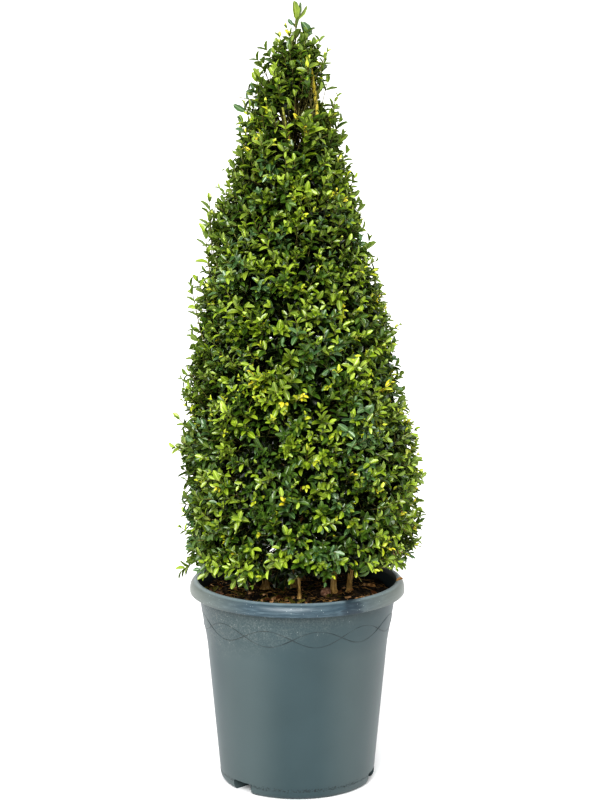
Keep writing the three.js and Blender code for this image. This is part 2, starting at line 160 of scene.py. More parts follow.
def mesh_piece(name: str, points: np.ndarray, faces: np.ndarray,
               uv: np.ndarray | None = None) -> bpy.types.Object:
    """Join many small things, given as arrays, into one smooth-shaded piece.

    Args:
        name: The piece's name.
        points: Vertex positions, one row each.
        faces: Vertex indices of the triangles, one row each.
        uv: A pair of coordinates for each vertex.

    Returns:
        The new object.
    """
    mesh = bpy.data.meshes.new(name)
    mesh.vertices.add(len(points))
    mesh.vertices.foreach_set("co", np.asarray(points, np.float32).ravel())
    mesh.loops.add(faces.size)
    mesh.loops.foreach_set("vertex_index", np.asarray(faces, np.int32).ravel())
    mesh.polygons.add(len(faces))
    mesh.polygons.foreach_set("loop_start", np.arange(0, faces.size, 3, dtype=np.int32))
    mesh.polygons.foreach_set("loop_total", np.full(len(faces), 3, np.int32))
    mesh.polygons.foreach_set("use_smooth", np.ones(len(faces), bool))
    if uv is not None:
        layer = mesh.uv_layers.new(name="blade")
        layer.data.foreach_set("uv", np.asarray(uv[faces.ravel()], np.float32).ravel())
    mesh.update(calc_edges=True)
    mesh.validate()
    piece = bpy.data.objects.new(name, mesh)
    bpy.context.scene.collection.objects.link(piece)
    return piece


def template_of(piece: bpy.types.Object) -> tuple[np.ndarray, np.ndarray]:
    """Read a small modelled shape as arrays and remove its object.

    Args:
        piece: The modelled object.

    Returns:
        Its vertex positions and its triangles.
    """
    mesh = piece.data
    mesh.calc_loop_triangles()
    points = np.array([v.co for v in mesh.vertices], float)
    faces = np.array([t.vertices for t in mesh.loop_triangles], int)
    bpy.data.objects.remove(piece)
    return points, faces


def unit(vectors: np.ndarray) -> np.ndarray:
    """Scale vectors to a length of one."""
    return vectors / np.maximum(np.linalg.norm(vectors, axis=-1, keepdims=True), TINY)


def radial(azimuth: np.ndarray) -> np.ndarray:
    """Give the level directions at angles measured from the front towards +X."""
    azimuth = np.asarray(azimuth, float)
    return np.stack([np.sin(azimuth), -np.cos(azimuth), np.zeros_like(azimuth)], -1)


def turned(vectors: np.ndarray, axes: np.ndarray, angles: np.ndarray) -> np.ndarray:
    """Turn vectors about unit axes at right angles to them, each by its own angle in radians."""
    angles = np.asarray(angles)[..., None]
    return vectors * np.cos(angles) + np.cross(axes, vectors) * np.sin(angles)


def drawn(rng: np.random.Generator, pair: tuple[float, float],
          shape: int | tuple[int, int]) -> np.ndarray:
    """Draw values by chance, given the least one and how much chance adds to it."""
    return pair[0] + pair[1] * rng.random(shape)


def scattered(name: str, template: tuple[np.ndarray, np.ndarray], places: np.ndarray,
              frames: np.ndarray, sizes: np.ndarray) -> bpy.types.Object:
    """Join copies of a small shape into one piece.

    Args:
        name: The piece's name.
        template: The shape's points and triangles.
        places: Where each copy's origin goes.
        frames: For each copy, three unit axes as the rows of a matrix.
        sizes: For each copy, its three scales.

    Returns:
        The joined piece.
    """
    points, faces = template
    scaled = points[None, :, :] * sizes[:, None, :]
    placed = np.einsum("nvk,nkj->nvj", scaled, frames) + places[:, None, :]
    offsets = np.arange(len(places))[:, None, None] * len(points)
    return mesh_piece(name, placed.reshape(-1, 3), (faces[None] + offsets).reshape(-1, 3))


# ---- finishes -----------------------------------------------------------------------------------


@dataclass(frozen=True)
class PotPlastic:
    """Moulded grey-blue polypropylene: satin, clean below, dusty and gritty on its flared band, with a
    painted reflection beside its front.
    """

    name: str = "moulded_polypropylene"
    body: str = "#2d3d40"
    pale: str = "#3b4c50"
    dust: str = "#6d7370"
    grit: str = "#9ea5a2"
    dirt: str = "#182022"
    # painted reflection: a paler grey where the curving wall would mirror the bright surroundings
    painted_reflection: str = "#7f8682"
    roughness: float = 0.40
    ior: float = 1.49
    relief: float = 0.12
    relief_depth: float = 0.4 * MM
    # dust: the heights from clean to full, its lean along X, its ragged edge, and its share by X
    dust_low: float = 0.218
    dust_high: float = 0.276
    dust_lean: float = -0.27
    dust_ragged: float = 0.06
    dust_sides: tuple[float, float] = (0.10, -0.12)
    dust_shares: tuple[float, float] = (0.22, 0.46)
    drift_noise: tuple[float, float] = (0.25, 0.62)
    speck_noise: tuple[float, float] = (0.44, 0.60)
    speck_shares: tuple[float, float] = (0.12, 1.40)
    # painted reflection, paler where the curving wall would mirror the bright sides: how far beside the
    # front it gathers and fades, and how little reaches the band
    film_middle: float = 0.006
    reflection_from: float = 0.015
    reflection_full: float = 0.075
    reflection_edge: tuple[float, float] = (0.100, 0.128)
    reflection_past_edge: float = 0.15
    reflection_share: float = 0.155
    reflection_heights: tuple[float, float] = (0.205, 0.240)
    reflection_on_band: float = 0.25
    # grit: a grain's middle and edge within its cell, its strength, and how rare it is
    grain_reach: tuple[float, float] = (0.12, 0.26)
    grain_share: float = 0.75
    grain_gathers: float = 0.42
    grain_chance: tuple[float, float] = (0.993, 1.05)
    # dirt: its height, its reach, how that shifts the noise, and the noise from clean to dirty
    foot_dirt: float = 0.0138
    dirt_reach: tuple[float, float] = (0.8 * MM, 6 * MM)
    dirt_shift: tuple[float, float] = (0.10, -0.12)
    dirt_noise: tuple[float, float] = (0.60, 0.67)
    dirt_share: float = 0.9
    cloud_mm: float = 110.0
    patch_mm: float = 16.0
    speck_mm: float = 2.4
    grit_mm: float = 2.8

    def material(self) -> bpy.types.Material:
        """Build the plastic's material.

        Returns:
            The material, from the wall's two tones up through the painted reflection, dust and grit to
            dirt.
        """
        material = bpy.data.materials.new(self.name)
        material.use_nodes = True
        tree = material.node_tree
        shader = tree.nodes["Principled BSDF"]
        shader.inputs["Roughness"].default_value = self.roughness
        shader.inputs["IOR"].default_value = self.ior
        place = add_node(tree, "ShaderNodeTexCoord").outputs["Object"]
        axes = add_node(tree, "ShaderNodeSeparateXYZ", None, {0: place})
        cloud = add_node(tree, "ShaderNodeTexNoise", None,
                         {"Vector": place, "Scale": 1 / (self.cloud_mm * MM), "Detail": 3.0})
        tone = add_node(tree, "ShaderNodeMix", {"data_type": "RGBA"},
                        {0: cloud.outputs["Fac"], 6: linear(self.body), 7: linear(self.pale)})
        # paint in the reflection of the bright surroundings beside the front
        reflected = add_node(tree, "ShaderNodeMix", {"data_type": "RGBA"},
                          {0: self.painted_reflection_mask(tree, axes), 6: tone.outputs[2], 7: linear(self.painted_reflection)})
        patch = add_node(tree, "ShaderNodeTexNoise", None,
                         {"Vector": place, "Scale": 1 / (self.patch_mm * MM), "Detail": 7.0,
                          "Roughness": 0.72})
        much = self.dustiness(tree, axes, patch)
        patchy = add_node(tree, "ShaderNodeMapRange", None,
                          {"Value": patch.outputs["Fac"], FROM: self.drift_noise})
        speck = add_node(tree, "ShaderNodeTexNoise", None,
                         {"Vector": place, "Scale": 1 / (self.speck_mm * MM), "Detail": 2.0,
                          "Roughness": 0.8})
        specks = add_node(tree, "ShaderNodeMapRange", None,
                          {"Value": speck.outputs["Fac"], FROM: self.speck_noise,
                           TO: self.speck_shares})
        thick = add_node(tree, "ShaderNodeMath", {"operation": "MULTIPLY"},
                         {0: much, 1: patchy.outputs[0]})
        dusty = add_node(tree, "ShaderNodeMath", {"operation": "MULTIPLY"},
                         {0: thick.outputs[0], 1: specks.outputs[0]})
        dusted = add_node(tree, "ShaderNodeMix", {"data_type": "RGBA"},
                          {0: dusty.outputs[0], 6: reflected.outputs[2], 7: linear(self.dust)})
        gritted = add_node(tree, "ShaderNodeMix", {"data_type": "RGBA"},
                           {0: self.grains(tree, place, much), 6: dusted.outputs[2],
                            7: linear(self.grit)})
        dirtied = add_node(tree, "ShaderNodeMix", {"data_type": "RGBA"},
                           {0: self.dirtiness(tree, axes, speck), 6: gritted.outputs[2],
                            7: linear(self.dirt)})
        tree.links.new(dirtied.outputs[2], shader.inputs["Base Color"])
        bump = add_node(tree, "ShaderNodeBump", None,
                        {"Height": patch.outputs["Fac"], "Strength": self.relief,
                         "Distance": self.relief_depth})
        tree.links.new(bump.outputs["Normal"], shader.inputs["Normal"])
        return material

    def painted_reflection_mask(self, tree: bpy.types.NodeTree, axes: bpy.types.Node) -> bpy.types.NodeSocket:
        """Tell how much painted reflection lies on the wall: most beside the front, less on the band.

        Args:
            tree: The material's node tree.
            axes: The node that parts the place into X, Y and Z.

        Returns:
            The socket that gives the share of painted reflection.
        """
        moved = add_node(tree, "ShaderNodeMath", {"operation": "SUBTRACT"},
                         {0: axes.outputs["X"], 1: self.film_middle})
        aside = add_node(tree, "ShaderNodeMath", {"operation": "ABSOLUTE"}, {0: moved.outputs[0]})
        most = add_node(tree, "ShaderNodeMapRange", None,
                        {"Value": axes.outputs["Z"], FROM: self.reflection_heights,
                         TO: (self.reflection_share, self.reflection_on_band * self.reflection_share)})
        gathers = add_node(tree, "ShaderNodeMapRange", {"interpolation_type": "SMOOTHSTEP"},
                           {"Value": aside.outputs[0], FROM: (self.reflection_from, self.reflection_full),
                            "To Max": most.outputs[0]})
        fades = add_node(tree, "ShaderNodeMapRange", {"interpolation_type": "SMOOTHSTEP"},
                         {"Value": aside.outputs[0], FROM: self.reflection_edge,
                          TO: (1.0, self.reflection_past_edge)})
        return add_node(tree, "ShaderNodeMath", {"operation": "MULTIPLY"},
                        {0: gathers.outputs[0], 1: fades.outputs[0]}).outputs[0]

    def dustiness(self, tree: bpy.types.NodeTree, axes: bpy.types.Node,
                  patch: bpy.types.Node) -> bpy.types.NodeSocket:
        """Tell how much dust lies at a point: most on the band, more to one side, in ragged drifts.

        Args:
            tree: The material's node tree.
            axes: The node that parts the place into X, Y and Z.
            patch: The noise that breaks the dust's edge.

        Returns:
            The socket that gives the share of dust.
        """
        leaned = add_node(tree, "ShaderNodeMath", {"operation": "MULTIPLY_ADD"},
                          {0: axes.outputs["X"], 1: self.dust_lean, 2: axes.outputs["Z"]})
        ragged = add_node(tree, "ShaderNodeMath", {"operation": "MULTIPLY_ADD"},
                          {0: patch.outputs["Fac"], 1: self.dust_ragged, 2: leaned.outputs[0]})
        middle = self.dust_ragged / 2
        band = add_node(tree, "ShaderNodeMapRange", {"interpolation_type": "SMOOTHSTEP"},
                        {"Value": ragged.outputs[0],
                         FROM: (self.dust_low + middle, self.dust_high + middle)})
        side = add_node(tree, "ShaderNodeMapRange", None,
                        {"Value": axes.outputs["X"], FROM: self.dust_sides, TO: self.dust_shares})
        return add_node(tree, "ShaderNodeMath", {"operation": "MULTIPLY"},
                        {0: band.outputs[0], 1: side.outputs[0]}).outputs[0]

    def grains(self, tree: bpy.types.NodeTree, place: bpy.types.NodeSocket,
               much: bpy.types.NodeSocket) -> bpy.types.NodeSocket:
        """Tell where single pale grains cling, many in the dust and few elsewhere.

        Args:
            tree: The material's node tree.
            place: The socket that gives the place.
            much: The socket that gives the share of dust.

        Returns:
            The socket that is one on a grain.
        """
        cells = add_node(tree, "ShaderNodeTexVoronoi", None,
                         {"Vector": place, "Scale": 1 / (self.grit_mm * MM)})
        dot = add_node(tree, "ShaderNodeMapRange", None,
                       {"Value": cells.outputs["Distance"], FROM: self.grain_reach,
                        TO: (self.grain_share, 0.0)})
        chance = add_node(tree, "ShaderNodeSeparateColor", None, {0: cells.outputs["Color"]})
        likely = add_node(tree, "ShaderNodeMath", {"operation": "MULTIPLY_ADD"},
                          {0: much, 1: self.grain_gathers, 2: chance.outputs[0]})
        there = add_node(tree, "ShaderNodeMapRange", None,
                         {"Value": likely.outputs[0], FROM: self.grain_chance})
        return add_node(tree, "ShaderNodeMath", {"operation": "MULTIPLY"},
                        {0: dot.outputs[0], 1: there.outputs[0]}).outputs[0]

    def dirtiness(self, tree: bpy.types.NodeTree, axes: bpy.types.Node,
                  speck: bpy.types.Node) -> bpy.types.NodeSocket:
        """Tell where dark dirt has caught along the foot's groove.

        Args:
            tree: The material's node tree.
            axes: The node that parts the place into X, Y and Z.
            speck: The noise that breaks it into flecks.

        Returns:
            The socket that gives the share of dirt.
        """
        away = add_node(tree, "ShaderNodeMath", {"operation": "SUBTRACT"},
                        {0: axes.outputs["Z"], 1: self.foot_dirt})
        gap = add_node(tree, "ShaderNodeMath", {"operation": "ABSOLUTE"}, {0: away.outputs[0]})
        near = add_node(tree, "ShaderNodeMapRange", None,
                        {"Value": gap.outputs[0], FROM: self.dirt_reach, TO: self.dirt_shift})
        mixed = add_node(tree, "ShaderNodeMath", {"operation": "ADD"},
                         {0: near.outputs[0], 1: speck.outputs["Fac"]})
        return add_node(tree, "ShaderNodeMapRange", None,
                        {"Value": mixed.outputs[0], FROM: self.dirt_noise,
                         "To Max": self.dirt_share}).outputs[0]


# the looped line is darker than the wall
LINE_PLASTIC = PotPlastic(name="dark_lined_polypropylene", body="#212c2f", pale="#2b373a",
                          dust="#545852", grit="#8d918e", roughness=0.5)


@dataclass(frozen=True)
class RimPlastic:
    """The same polypropylene on the handled rim: scuffed in level streaks, dusty with a painted grazing
    reflection at its sides, and a painted highlight on its top edge.
    """

    name: str = "scuffed_polypropylene"
    body: str = "#35464f"
    worn: str = "#617177"
    dust: str = "#6e736c"
    grain: str = "#a9b1b0"
    stain: str = "#24313a"
    # painted highlight: the pale line along the lip's top edge
    edge: str = "#a3b2b7"
    roughness: float = 0.38
    ior: float = 1.49
    relief: float = 0.2
    relief_depth: float = 0.4 * MM
    streak: float = 9.0
    wear_mm: float = 22.0
    wear_noise: tuple[float, float] = (0.46, 0.68)
    wear_share: float = 0.6
    # dust with a painted grazing reflection: paler towards the rim's left and right ends
    dust_sides: tuple[float, float] = (0.065, 0.15)
    dust_and_sheen_share: float = 0.85
    highlight_heights: tuple[float, float] = (0.2943, 0.2965)
    highlight_share: float = 0.45
    # grains: a grain's middle and edge within its cell, its strength, and how rare it is
    grain_mm: float = 2.8
    grain_reach: tuple[float, float] = (0.12, 0.22)
    grain_share: float = 0.7
    grain_chance: tuple[float, float] = (0.80, 0.84)
    # stain: its middle and half width along X, its soft edge, how that shifts the noise, the noise
    # from clean to stained, and the depth by which it is gone
    stain_middle: float = 0.077
    stain_reach: float = 0.018
    stain_edge: tuple[float, float] = (0.4, 1.4)
    stain_shift: tuple[float, float] = (0.20, -0.25)
    stain_noise: tuple[float, float] = (0.52, 0.68)
    stain_share: float = 0.85
    stain_depth: tuple[float, float] = (-0.03, 0.0)

    def material(self) -> bpy.types.Material:
        """Build the rim's material.

        Returns:
            The material, from streaked wear up through dust with a painted side reflection, the painted
            highlight along the top edge and the stain to grains.
        """
        material = bpy.data.materials.new(self.name)
        material.use_nodes = True
        tree = material.node_tree
        shader = tree.nodes["Principled BSDF"]
        shader.inputs["Roughness"].default_value = self.roughness
        shader.inputs["IOR"].default_value = self.ior
        place = add_node(tree, "ShaderNodeTexCoord").outputs["Object"]
        level = add_node(tree, "ShaderNodeMapping", None,
                         {"Vector": place, "Scale": (1.0, 1.0, self.streak)})
        wear = add_node(tree, "ShaderNodeTexNoise", None,
                        {"Vector": level.outputs[0], "Scale": 1 / (self.wear_mm * MM), "Detail": 8.0,
                         "Roughness": 0.7})
        worn = add_node(tree, "ShaderNodeMapRange", None,
                        {"Value": wear.outputs["Fac"], FROM: self.wear_noise,
                         "To Max": self.wear_share})
        tone = add_node(tree, "ShaderNodeMix", {"data_type": "RGBA"},
                        {0: worn.outputs[0], 6: linear(self.body), 7: linear(self.worn)})
        axes = add_node(tree, "ShaderNodeSeparateXYZ", None, {0: place})
        # dust with a painted grazing reflection, paler towards the left and right ends
        aside = add_node(tree, "ShaderNodeMath", {"operation": "ABSOLUTE"}, {0: axes.outputs["X"]})
        dusty = add_node(tree, "ShaderNodeMapRange", None,
                         {"Value": aside.outputs[0], FROM: self.dust_sides, "To Max": self.dust_and_sheen_share})
        dusted = add_node(tree, "ShaderNodeMix", {"data_type": "RGBA"},
                          {0: dusty.outputs[0], 6: tone.outputs[2], 7: linear(self.dust)})
        # a painted highlight along the lip's top edge
        edge_highlight = add_node(tree, "ShaderNodeMapRange", None,
                          {"Value": axes.outputs["Z"], FROM: self.highlight_heights,
                           "To Max": self.highlight_share})
        highlighted = add_node(tree, "ShaderNodeMix", {"data_type": "RGBA"},
                         {0: edge_highlight.outputs[0], 6: dusted.outputs[2], 7: linear(self.edge)})
        stained = add_node(tree, "ShaderNodeMix", {"data_type": "RGBA"},
                           {0: self.stained(tree, axes, wear), 6: highlighted.outputs[2],
                            7: linear(self.stain)})
        cells = add_node(tree, "ShaderNodeTexVoronoi", None,
                         {"Vector": place, "Scale": 1 / (self.grain_mm * MM)})
        dot = add_node(tree, "ShaderNodeMapRange", None,
                       {"Value": cells.outputs["Distance"], FROM: self.grain_reach,
                        TO: (self.grain_share, 0.0)})
        chance = add_node(tree, "ShaderNodeSeparateColor", None, {0: cells.outputs["Color"]})
        there = add_node(tree, "ShaderNodeMapRange", None,
                         {"Value": chance.outputs[0], FROM: self.grain_chance})
        grains = add_node(tree, "ShaderNodeMath", {"operation": "MULTIPLY"},
                          {0: dot.outputs[0], 1: there.outputs[0]})
        gritted = add_node(tree, "ShaderNodeMix", {"data_type": "RGBA"},
                           {0: grains.outputs[0], 6: stained.outputs[2], 7: linear(self.grain)})
        tree.links.new(gritted.outputs[2], shader.inputs["Base Color"])
        bump = add_node(tree, "ShaderNodeBump", None,
                        {"Height": wear.outputs["Fac"], "Strength": self.relief,
                         "Distance": self.relief_depth})
        tree.links.new(bump.outputs["Normal"], shader.inputs["Normal"])
        return material

    def stained(self, tree: bpy.types.NodeTree, axes: bpy.types.Node,
                wear: bpy.types.Node) -> bpy.types.NodeSocket:
        """Tell where the one dark damp stain lies, right of the front.

        Args:
            tree: The material's node tree.
            axes: The node that parts the place into X, Y and Z.
            wear: The noise that breaks the stain's edge.

        Returns:
            The socket that gives the share of stain.
        """
        away = add_node(tree, "ShaderNodeMath", {"operation": "SUBTRACT"},
                        {0: axes.outputs["X"], 1: self.stain_middle})
        gap = add_node(tree, "ShaderNodeMath", {"operation": "ABSOLUTE"}, {0: away.outputs[0]})
        edges = tuple(edge * self.stain_reach for edge in self.stain_edge)
        near = add_node(tree, "ShaderNodeMapRange", None,
                        {"Value": gap.outputs[0], FROM: edges, TO: self.stain_shift})
        mixed = add_node(tree, "ShaderNodeMath", {"operation": "ADD"},
                         {0: near.outputs[0], 1: wear.outputs["Fac"]})
        dark = add_node(tree, "ShaderNodeMapRange", None,
                        {"Value": mixed.outputs[0], FROM: self.stain_noise, "To Max": self.stain_share})
        front = add_node(tree, "ShaderNodeMapRange", None,
                         {"Value": axes.outputs["Y"], FROM: self.stain_depth, TO: (1.0, 0.0)})
        return add_node(tree, "ShaderNodeMath", {"operation": "MULTIPLY"},
                        {0: dark.outputs[0], 1: front.outputs[0]}).outputs[0]


@dataclass(frozen=True)
class Leafage:
    """Leathery box leaves: a waxy upper side, its two tones mottled, with a paler midrib."""

    name: str
    deep: str
    light: str
    rib: str
    roughness: float = 0.36
    coat: float = 0.15
    coat_roughness: float = 0.28
    mottle_mm: float = 16.0
    mottle_noise: tuple[float, float] = (0.32, 0.68)
    mottle_relief: float = 0.15
    relief_depth: float = 0.5 * MM
    # the midrib: where it starts to fade and is gone, as shares of the blade's width, and its strength
    rib_reach: tuple[float, float] = (0.03, 0.11)
    rib_share: float = 0.55

    def material(self) -> bpy.types.Material:
        """Build the leaf side's material.

        Returns:
            The material, its midrib drawn along the blade's own coordinates.
        """
        material = bpy.data.materials.new(self.name)
        material.use_nodes = True
        tree = material.node_tree
        shader = tree.nodes["Principled BSDF"]
        shader.inputs["Roughness"].default_value = self.roughness
        shader.inputs["Coat Weight"].default_value = self.coat
        shader.inputs["Coat Roughness"].default_value = self.coat_roughness
        place = add_node(tree, "ShaderNodeTexCoord")
        mottle = add_node(tree, "ShaderNodeTexNoise", None,
                          {"Vector": place.outputs["Object"], "Scale": 1 / (self.mottle_mm * MM),
                           "Detail": 2.0})
        spread = add_node(tree, "ShaderNodeMapRange", None,
                          {"Value": mottle.outputs["Fac"], FROM: self.mottle_noise})
        tone = add_node(tree, "ShaderNodeMix", {"data_type": "RGBA"},
                        {0: spread.outputs[0], 6: linear(self.deep), 7: linear(self.light)})
        across = add_node(tree, "ShaderNodeSeparateXYZ", None, {0: place.outputs["UV"]}).outputs["Y"]
        offset = add_node(tree, "ShaderNodeMath", {"operation": "ABSOLUTE"}, {0: across})
        rib = add_node(tree, "ShaderNodeMapRange", None,
                       {"Value": offset.outputs[0], FROM: self.rib_reach, TO: (self.rib_share, 0.0)})
        ribbed = add_node(tree, "ShaderNodeMix", {"data_type": "RGBA"},
                          {0: rib.outputs[0], 6: tone.outputs[2], 7: linear(self.rib)})
        tree.links.new(ribbed.outputs[2], shader.inputs["Base Color"])
        bump = add_node(tree, "ShaderNodeBump", None,
                        {"Height": mottle.outputs["Fac"], "Strength": self.mottle_relief,
                         "Distance": self.relief_depth})
        tree.links.new(bump.outputs["Normal"], shader.inputs["Normal"])
        return material


@dataclass(frozen=True)
class Plaster:
    """A plain, pale and quite matt floor."""

    name: str = "pale_plaster"
    colour: str = "#f4f4f4"

    def material(self) -> bpy.types.Material:
        """Build the floor's material.

        Returns:
            The material, without any gloss.
        """
        material = bpy.data.materials.new(self.name)
        material.use_nodes = True
        shader = material.node_tree.nodes["Principled BSDF"]
        shader.inputs["Base Color"].default_value = linear(self.colour)
        shader.inputs["Roughness"].default_value = 1.0
        shader.inputs["Specular IOR Level"].default_value = 0.0
        return material


@dataclass(frozen=True)
class Grained:
    """A matt, broken natural surface in three tones, such as bark, compost, chips or moss."""

    name: str
    dark: str
    middle: str
    light: str
    grain_mm: float
    stretch: float = 1.0
    roughness: float = 0.85
    relief: float = 0.6
    relief_depth: float = 0.5  # as a share of a grain
    middle_noise: tuple[float, float] = (0.36, 0.56)
    light_noise: tuple[float, float] = (0.56, 0.72)

    def material(self) -> bpy.types.Material:
        """Build the material, its grain drawn out along the height by the stretch.

        Returns:
            The material, with the relief of its own grain.
        """
        material = bpy.data.materials.new(self.name)
        material.use_nodes = True
        tree = material.node_tree
        shader = tree.nodes["Principled BSDF"]
        shader.inputs["Roughness"].default_value = self.roughness
        place = add_node(tree, "ShaderNodeTexCoord").outputs["Object"]
        drawn = add_node(tree, "ShaderNodeMapping", None,
                         {"Vector": place, "Scale": (1.0, 1.0, 1 / self.stretch)})
        grain = add_node(tree, "ShaderNodeTexNoise", None,
                         {"Vector": drawn.outputs[0], "Scale": 1 / (self.grain_mm * MM), "Detail": 5.0,
                          "Roughness": 0.65})
        low = add_node(tree, "ShaderNodeMapRange", None,
                       {"Value": grain.outputs["Fac"], FROM: self.middle_noise})
        high = add_node(tree, "ShaderNodeMapRange", None,
                        {"Value": grain.outputs["Fac"], FROM: self.light_noise})
        tone = add_node(tree, "ShaderNodeMix", {"data_type": "RGBA"},
                        {0: low.outputs[0], 6: linear(self.dark), 7: linear(self.middle)})
        lit = add_node(tree, "ShaderNodeMix", {"data_type": "RGBA"},
                       {0: high.outputs[0], 6: tone.outputs[2], 7: linear(self.light)})
        tree.links.new(lit.outputs[2], shader.inputs["Base Color"])
        bump = add_node(tree, "ShaderNodeBump", None,
                        {"Height": grain.outputs["Fac"], "Strength": self.relief,
                         "Distance": self.grain_mm * MM * self.relief_depth})
        tree.links.new(bump.outputs["Normal"], shader.inputs["Normal"])
        return material


class Tint(Enum):
    """The leaf colours that are dealt out by spray, and the painted shade that darkens leaves deep inside
    the crown.
    """

    # painted shade: the near-black tint of leaves deep inside the crown
    SHADE = Leafage("leaf_shade", "#0b1403", "#162506", "#2a3d10", coat=0.1)
    DEEP = Leafage("leaf_deep", "#2a440e", "#4e6820", "#6f8942", coat=0.5)
    # bluish-green older leaves: their blue partly a painted reflection of the sky on glossy leaves
    OLD_AND_SHEEN = Leafage("leaf_old_and_sheen", "#33522e", "#587446", "#93ab78", roughness=0.34, coat=0.5)
    MATURE = Leafage("leaf_mature", "#51680f", "#7c8e2c", "#a6b15a", coat=0.5)
    FRESH = Leafage("leaf_fresh", "#6c8412", "#94a838", "#bdc868", coat=0.4)
    LIME = Leafage("leaf_lime", "#98a51c", "#bec43e", "#d9db84", coat=0.2)
    YELLOW = Leafage("leaf_yellow", "#b8ae1e", "#d2c93e", "#eae290", coat=0.1)
    DRY = Leafage("leaf_dry", "#917656", "#bfa27a", "#dcc8a4", roughness=0.6, coat=0.0)


YOUNG_TINTS = (Tint.LIME, Tint.YELLOW)
UNDERSIDE = Leafage("leaf_underside", "#5a7028", "#7b9044", "#a9b777", roughness=0.5, coat=0.0)
# tan is the bark's own colour; its paleness is painted light, standing in for sun on the stems under the
# crown
BARK = Grained("box_bark", "#927344", "#dab877", "#f4e4ba", grain_mm=3.2, stretch=5.0)
TWIG_BARK = Grained("green_twig", "#464220", "#6c6836", "#96905a", grain_mm=4.0, stretch=3.0)
# the lead limb's yellow is its own; it is lightened as painted light where the leaves shade it
YOUNG_BARK = Grained("young_box_bark", "#a39430", "#c3b64e", "#e0d684", grain_mm=14.0, stretch=6.0,
                     relief=0.1)
OLIVE_BARK = Grained("olive_box_bark", "#5c6020", "#82843a", "#aeac62", grain_mm=8.0, stretch=5.0,
                     relief=0.2)
COMPOST = Grained("moist_compost", "#0e0a06", "#2b2015", "#5c452b", grain_mm=4.0, roughness=0.95,
                  relief=1.0)
CLOD = Grained("dried_clod", "#6e4e3e", "#b48d75", "#d9bca4", grain_mm=3.0, roughness=0.9)
CHIP = Grained("bark_chip", "#1f170d", "#4a3922", "#927a52", grain_mm=5.0, stretch=0.5)
PALE_CHIP = Grained("pale_chip", "#94704a", "#d2a97c", "#ecd2ae", grain_mm=4.0, roughness=0.75)
FIBRE = Grained("root_fibre", "#8a6a3a", "#b8935a", "#d8ba84", grain_mm=6.0)
MOSS = Grained("cushion_moss", "#3a380e", "#716920", "#a89c44", grain_mm=2.0, relief=1.0)
FLOOR = Plaster()


class ShedTone(Enum):
    """The colours of the dead leaves that lie on the compost."""

    TAN = Grained("shed_leaf_tan", "#7c5a34", "#b88f5c", "#dcbd8c", grain_mm=5.0, roughness=0.6)
    RUST = Grained("shed_leaf_rust", "#3f2614", "#70492a", "#997044", grain_mm=5.0, roughness=0.6)
    OLIVE = Grained("shed_leaf_olive", "#3a3a12", "#6a6424", "#948a44", grain_mm=5.0, roughness=0.6)


@dataclass(frozen=True)
class Blade:
    """One leaf's outline, as eight faces: points along it and across it, as shares of its size."""

    sides: int = 8
    edge: tuple[tuple[float, float], ...] = (
        (0.97, 0.0), (0.87, 0.29), (0.54, 0.5), (0.18, 0.34), (0.0, 0.0))
    middle: tuple[float, float] = (0.5, 0.0)
    fold: float = 0.32
    droop: float = 0.10

    def shape(self) -> tuple[np.ndarray, np.ndarray]:
        """Model the blade, its base at the origin and its tip one unit along X.

        Returns:
            Points as (along, across, lift), and triangles whose normals point up.
        """
        deselect()
        bpy.ops.mesh.primitive_circle_add(vertices=self.sides, radius=1, fill_type="TRIFAN")
        blade = bpy.context.active_object
        for vertex in blade.data.vertices:
            along, across = self.middle
            if vertex.co.length > 0.5:
                corner = round(math.atan2(vertex.co.y, vertex.co.x) / TURN * self.sides)
                along, across = self.edge[abs(corner)]
                across = math.copysign(across, corner)
            lift = self.fold * abs(across) - self.droop * along**2
            vertex.co = (along, across, lift)
        points, faces = template_of(blade)
        first = points[faces[0]]
        upright = np.cross(first[1] - first[0], first[2] - first[0])[2] > 0
        return points, faces if upright else faces[:, ::-1]


BLADE = Blade()


def dress(piece: bpy.types.Object, material: bpy.types.Material,
          replaced: tuple[str, ...] = ()) -> None:
    """Give a piece its material, its body and the solids that it stands for.

    Args:
        piece: The finished piece.
        material: Its finish.
        replaced: The nodes that it stands for.
    """
    piece.data.materials.clear()
    piece.data.materials.append(material)
    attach(piece, "root")
    if replaced:
        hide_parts(*replaced)
    log.info("%s: %d faces", piece.name, len(piece.data.polygons))


# ---- camera and studio --------------------------------------------------------------------------


@dataclass
class StudioCamera:
    """A long lens at the height of the crown's top, looking a little down."""

    distance: float = 3.0565
    height: float = 1.0858
    pitch: float = math.radians(9.82)
    pan: float = -0.0013
    lens: float = 98.0
    sensor: float = 36.0

    def build(self) -> None:
        """Add the camera and make it the scene's own."""
        data = bpy.data.cameras.new("camera")
        data.lens = self.lens
        data.sensor_width = self.sensor
        camera = bpy.data.objects.new("camera", data)
        camera.location = (0.0, -self.distance, self.height)
        camera.rotation_euler = (math.pi / 2 - self.pitch, 0.0, self.pan)
        bpy.context.scene.collection.objects.link(camera)
        bpy.context.scene.camera = camera


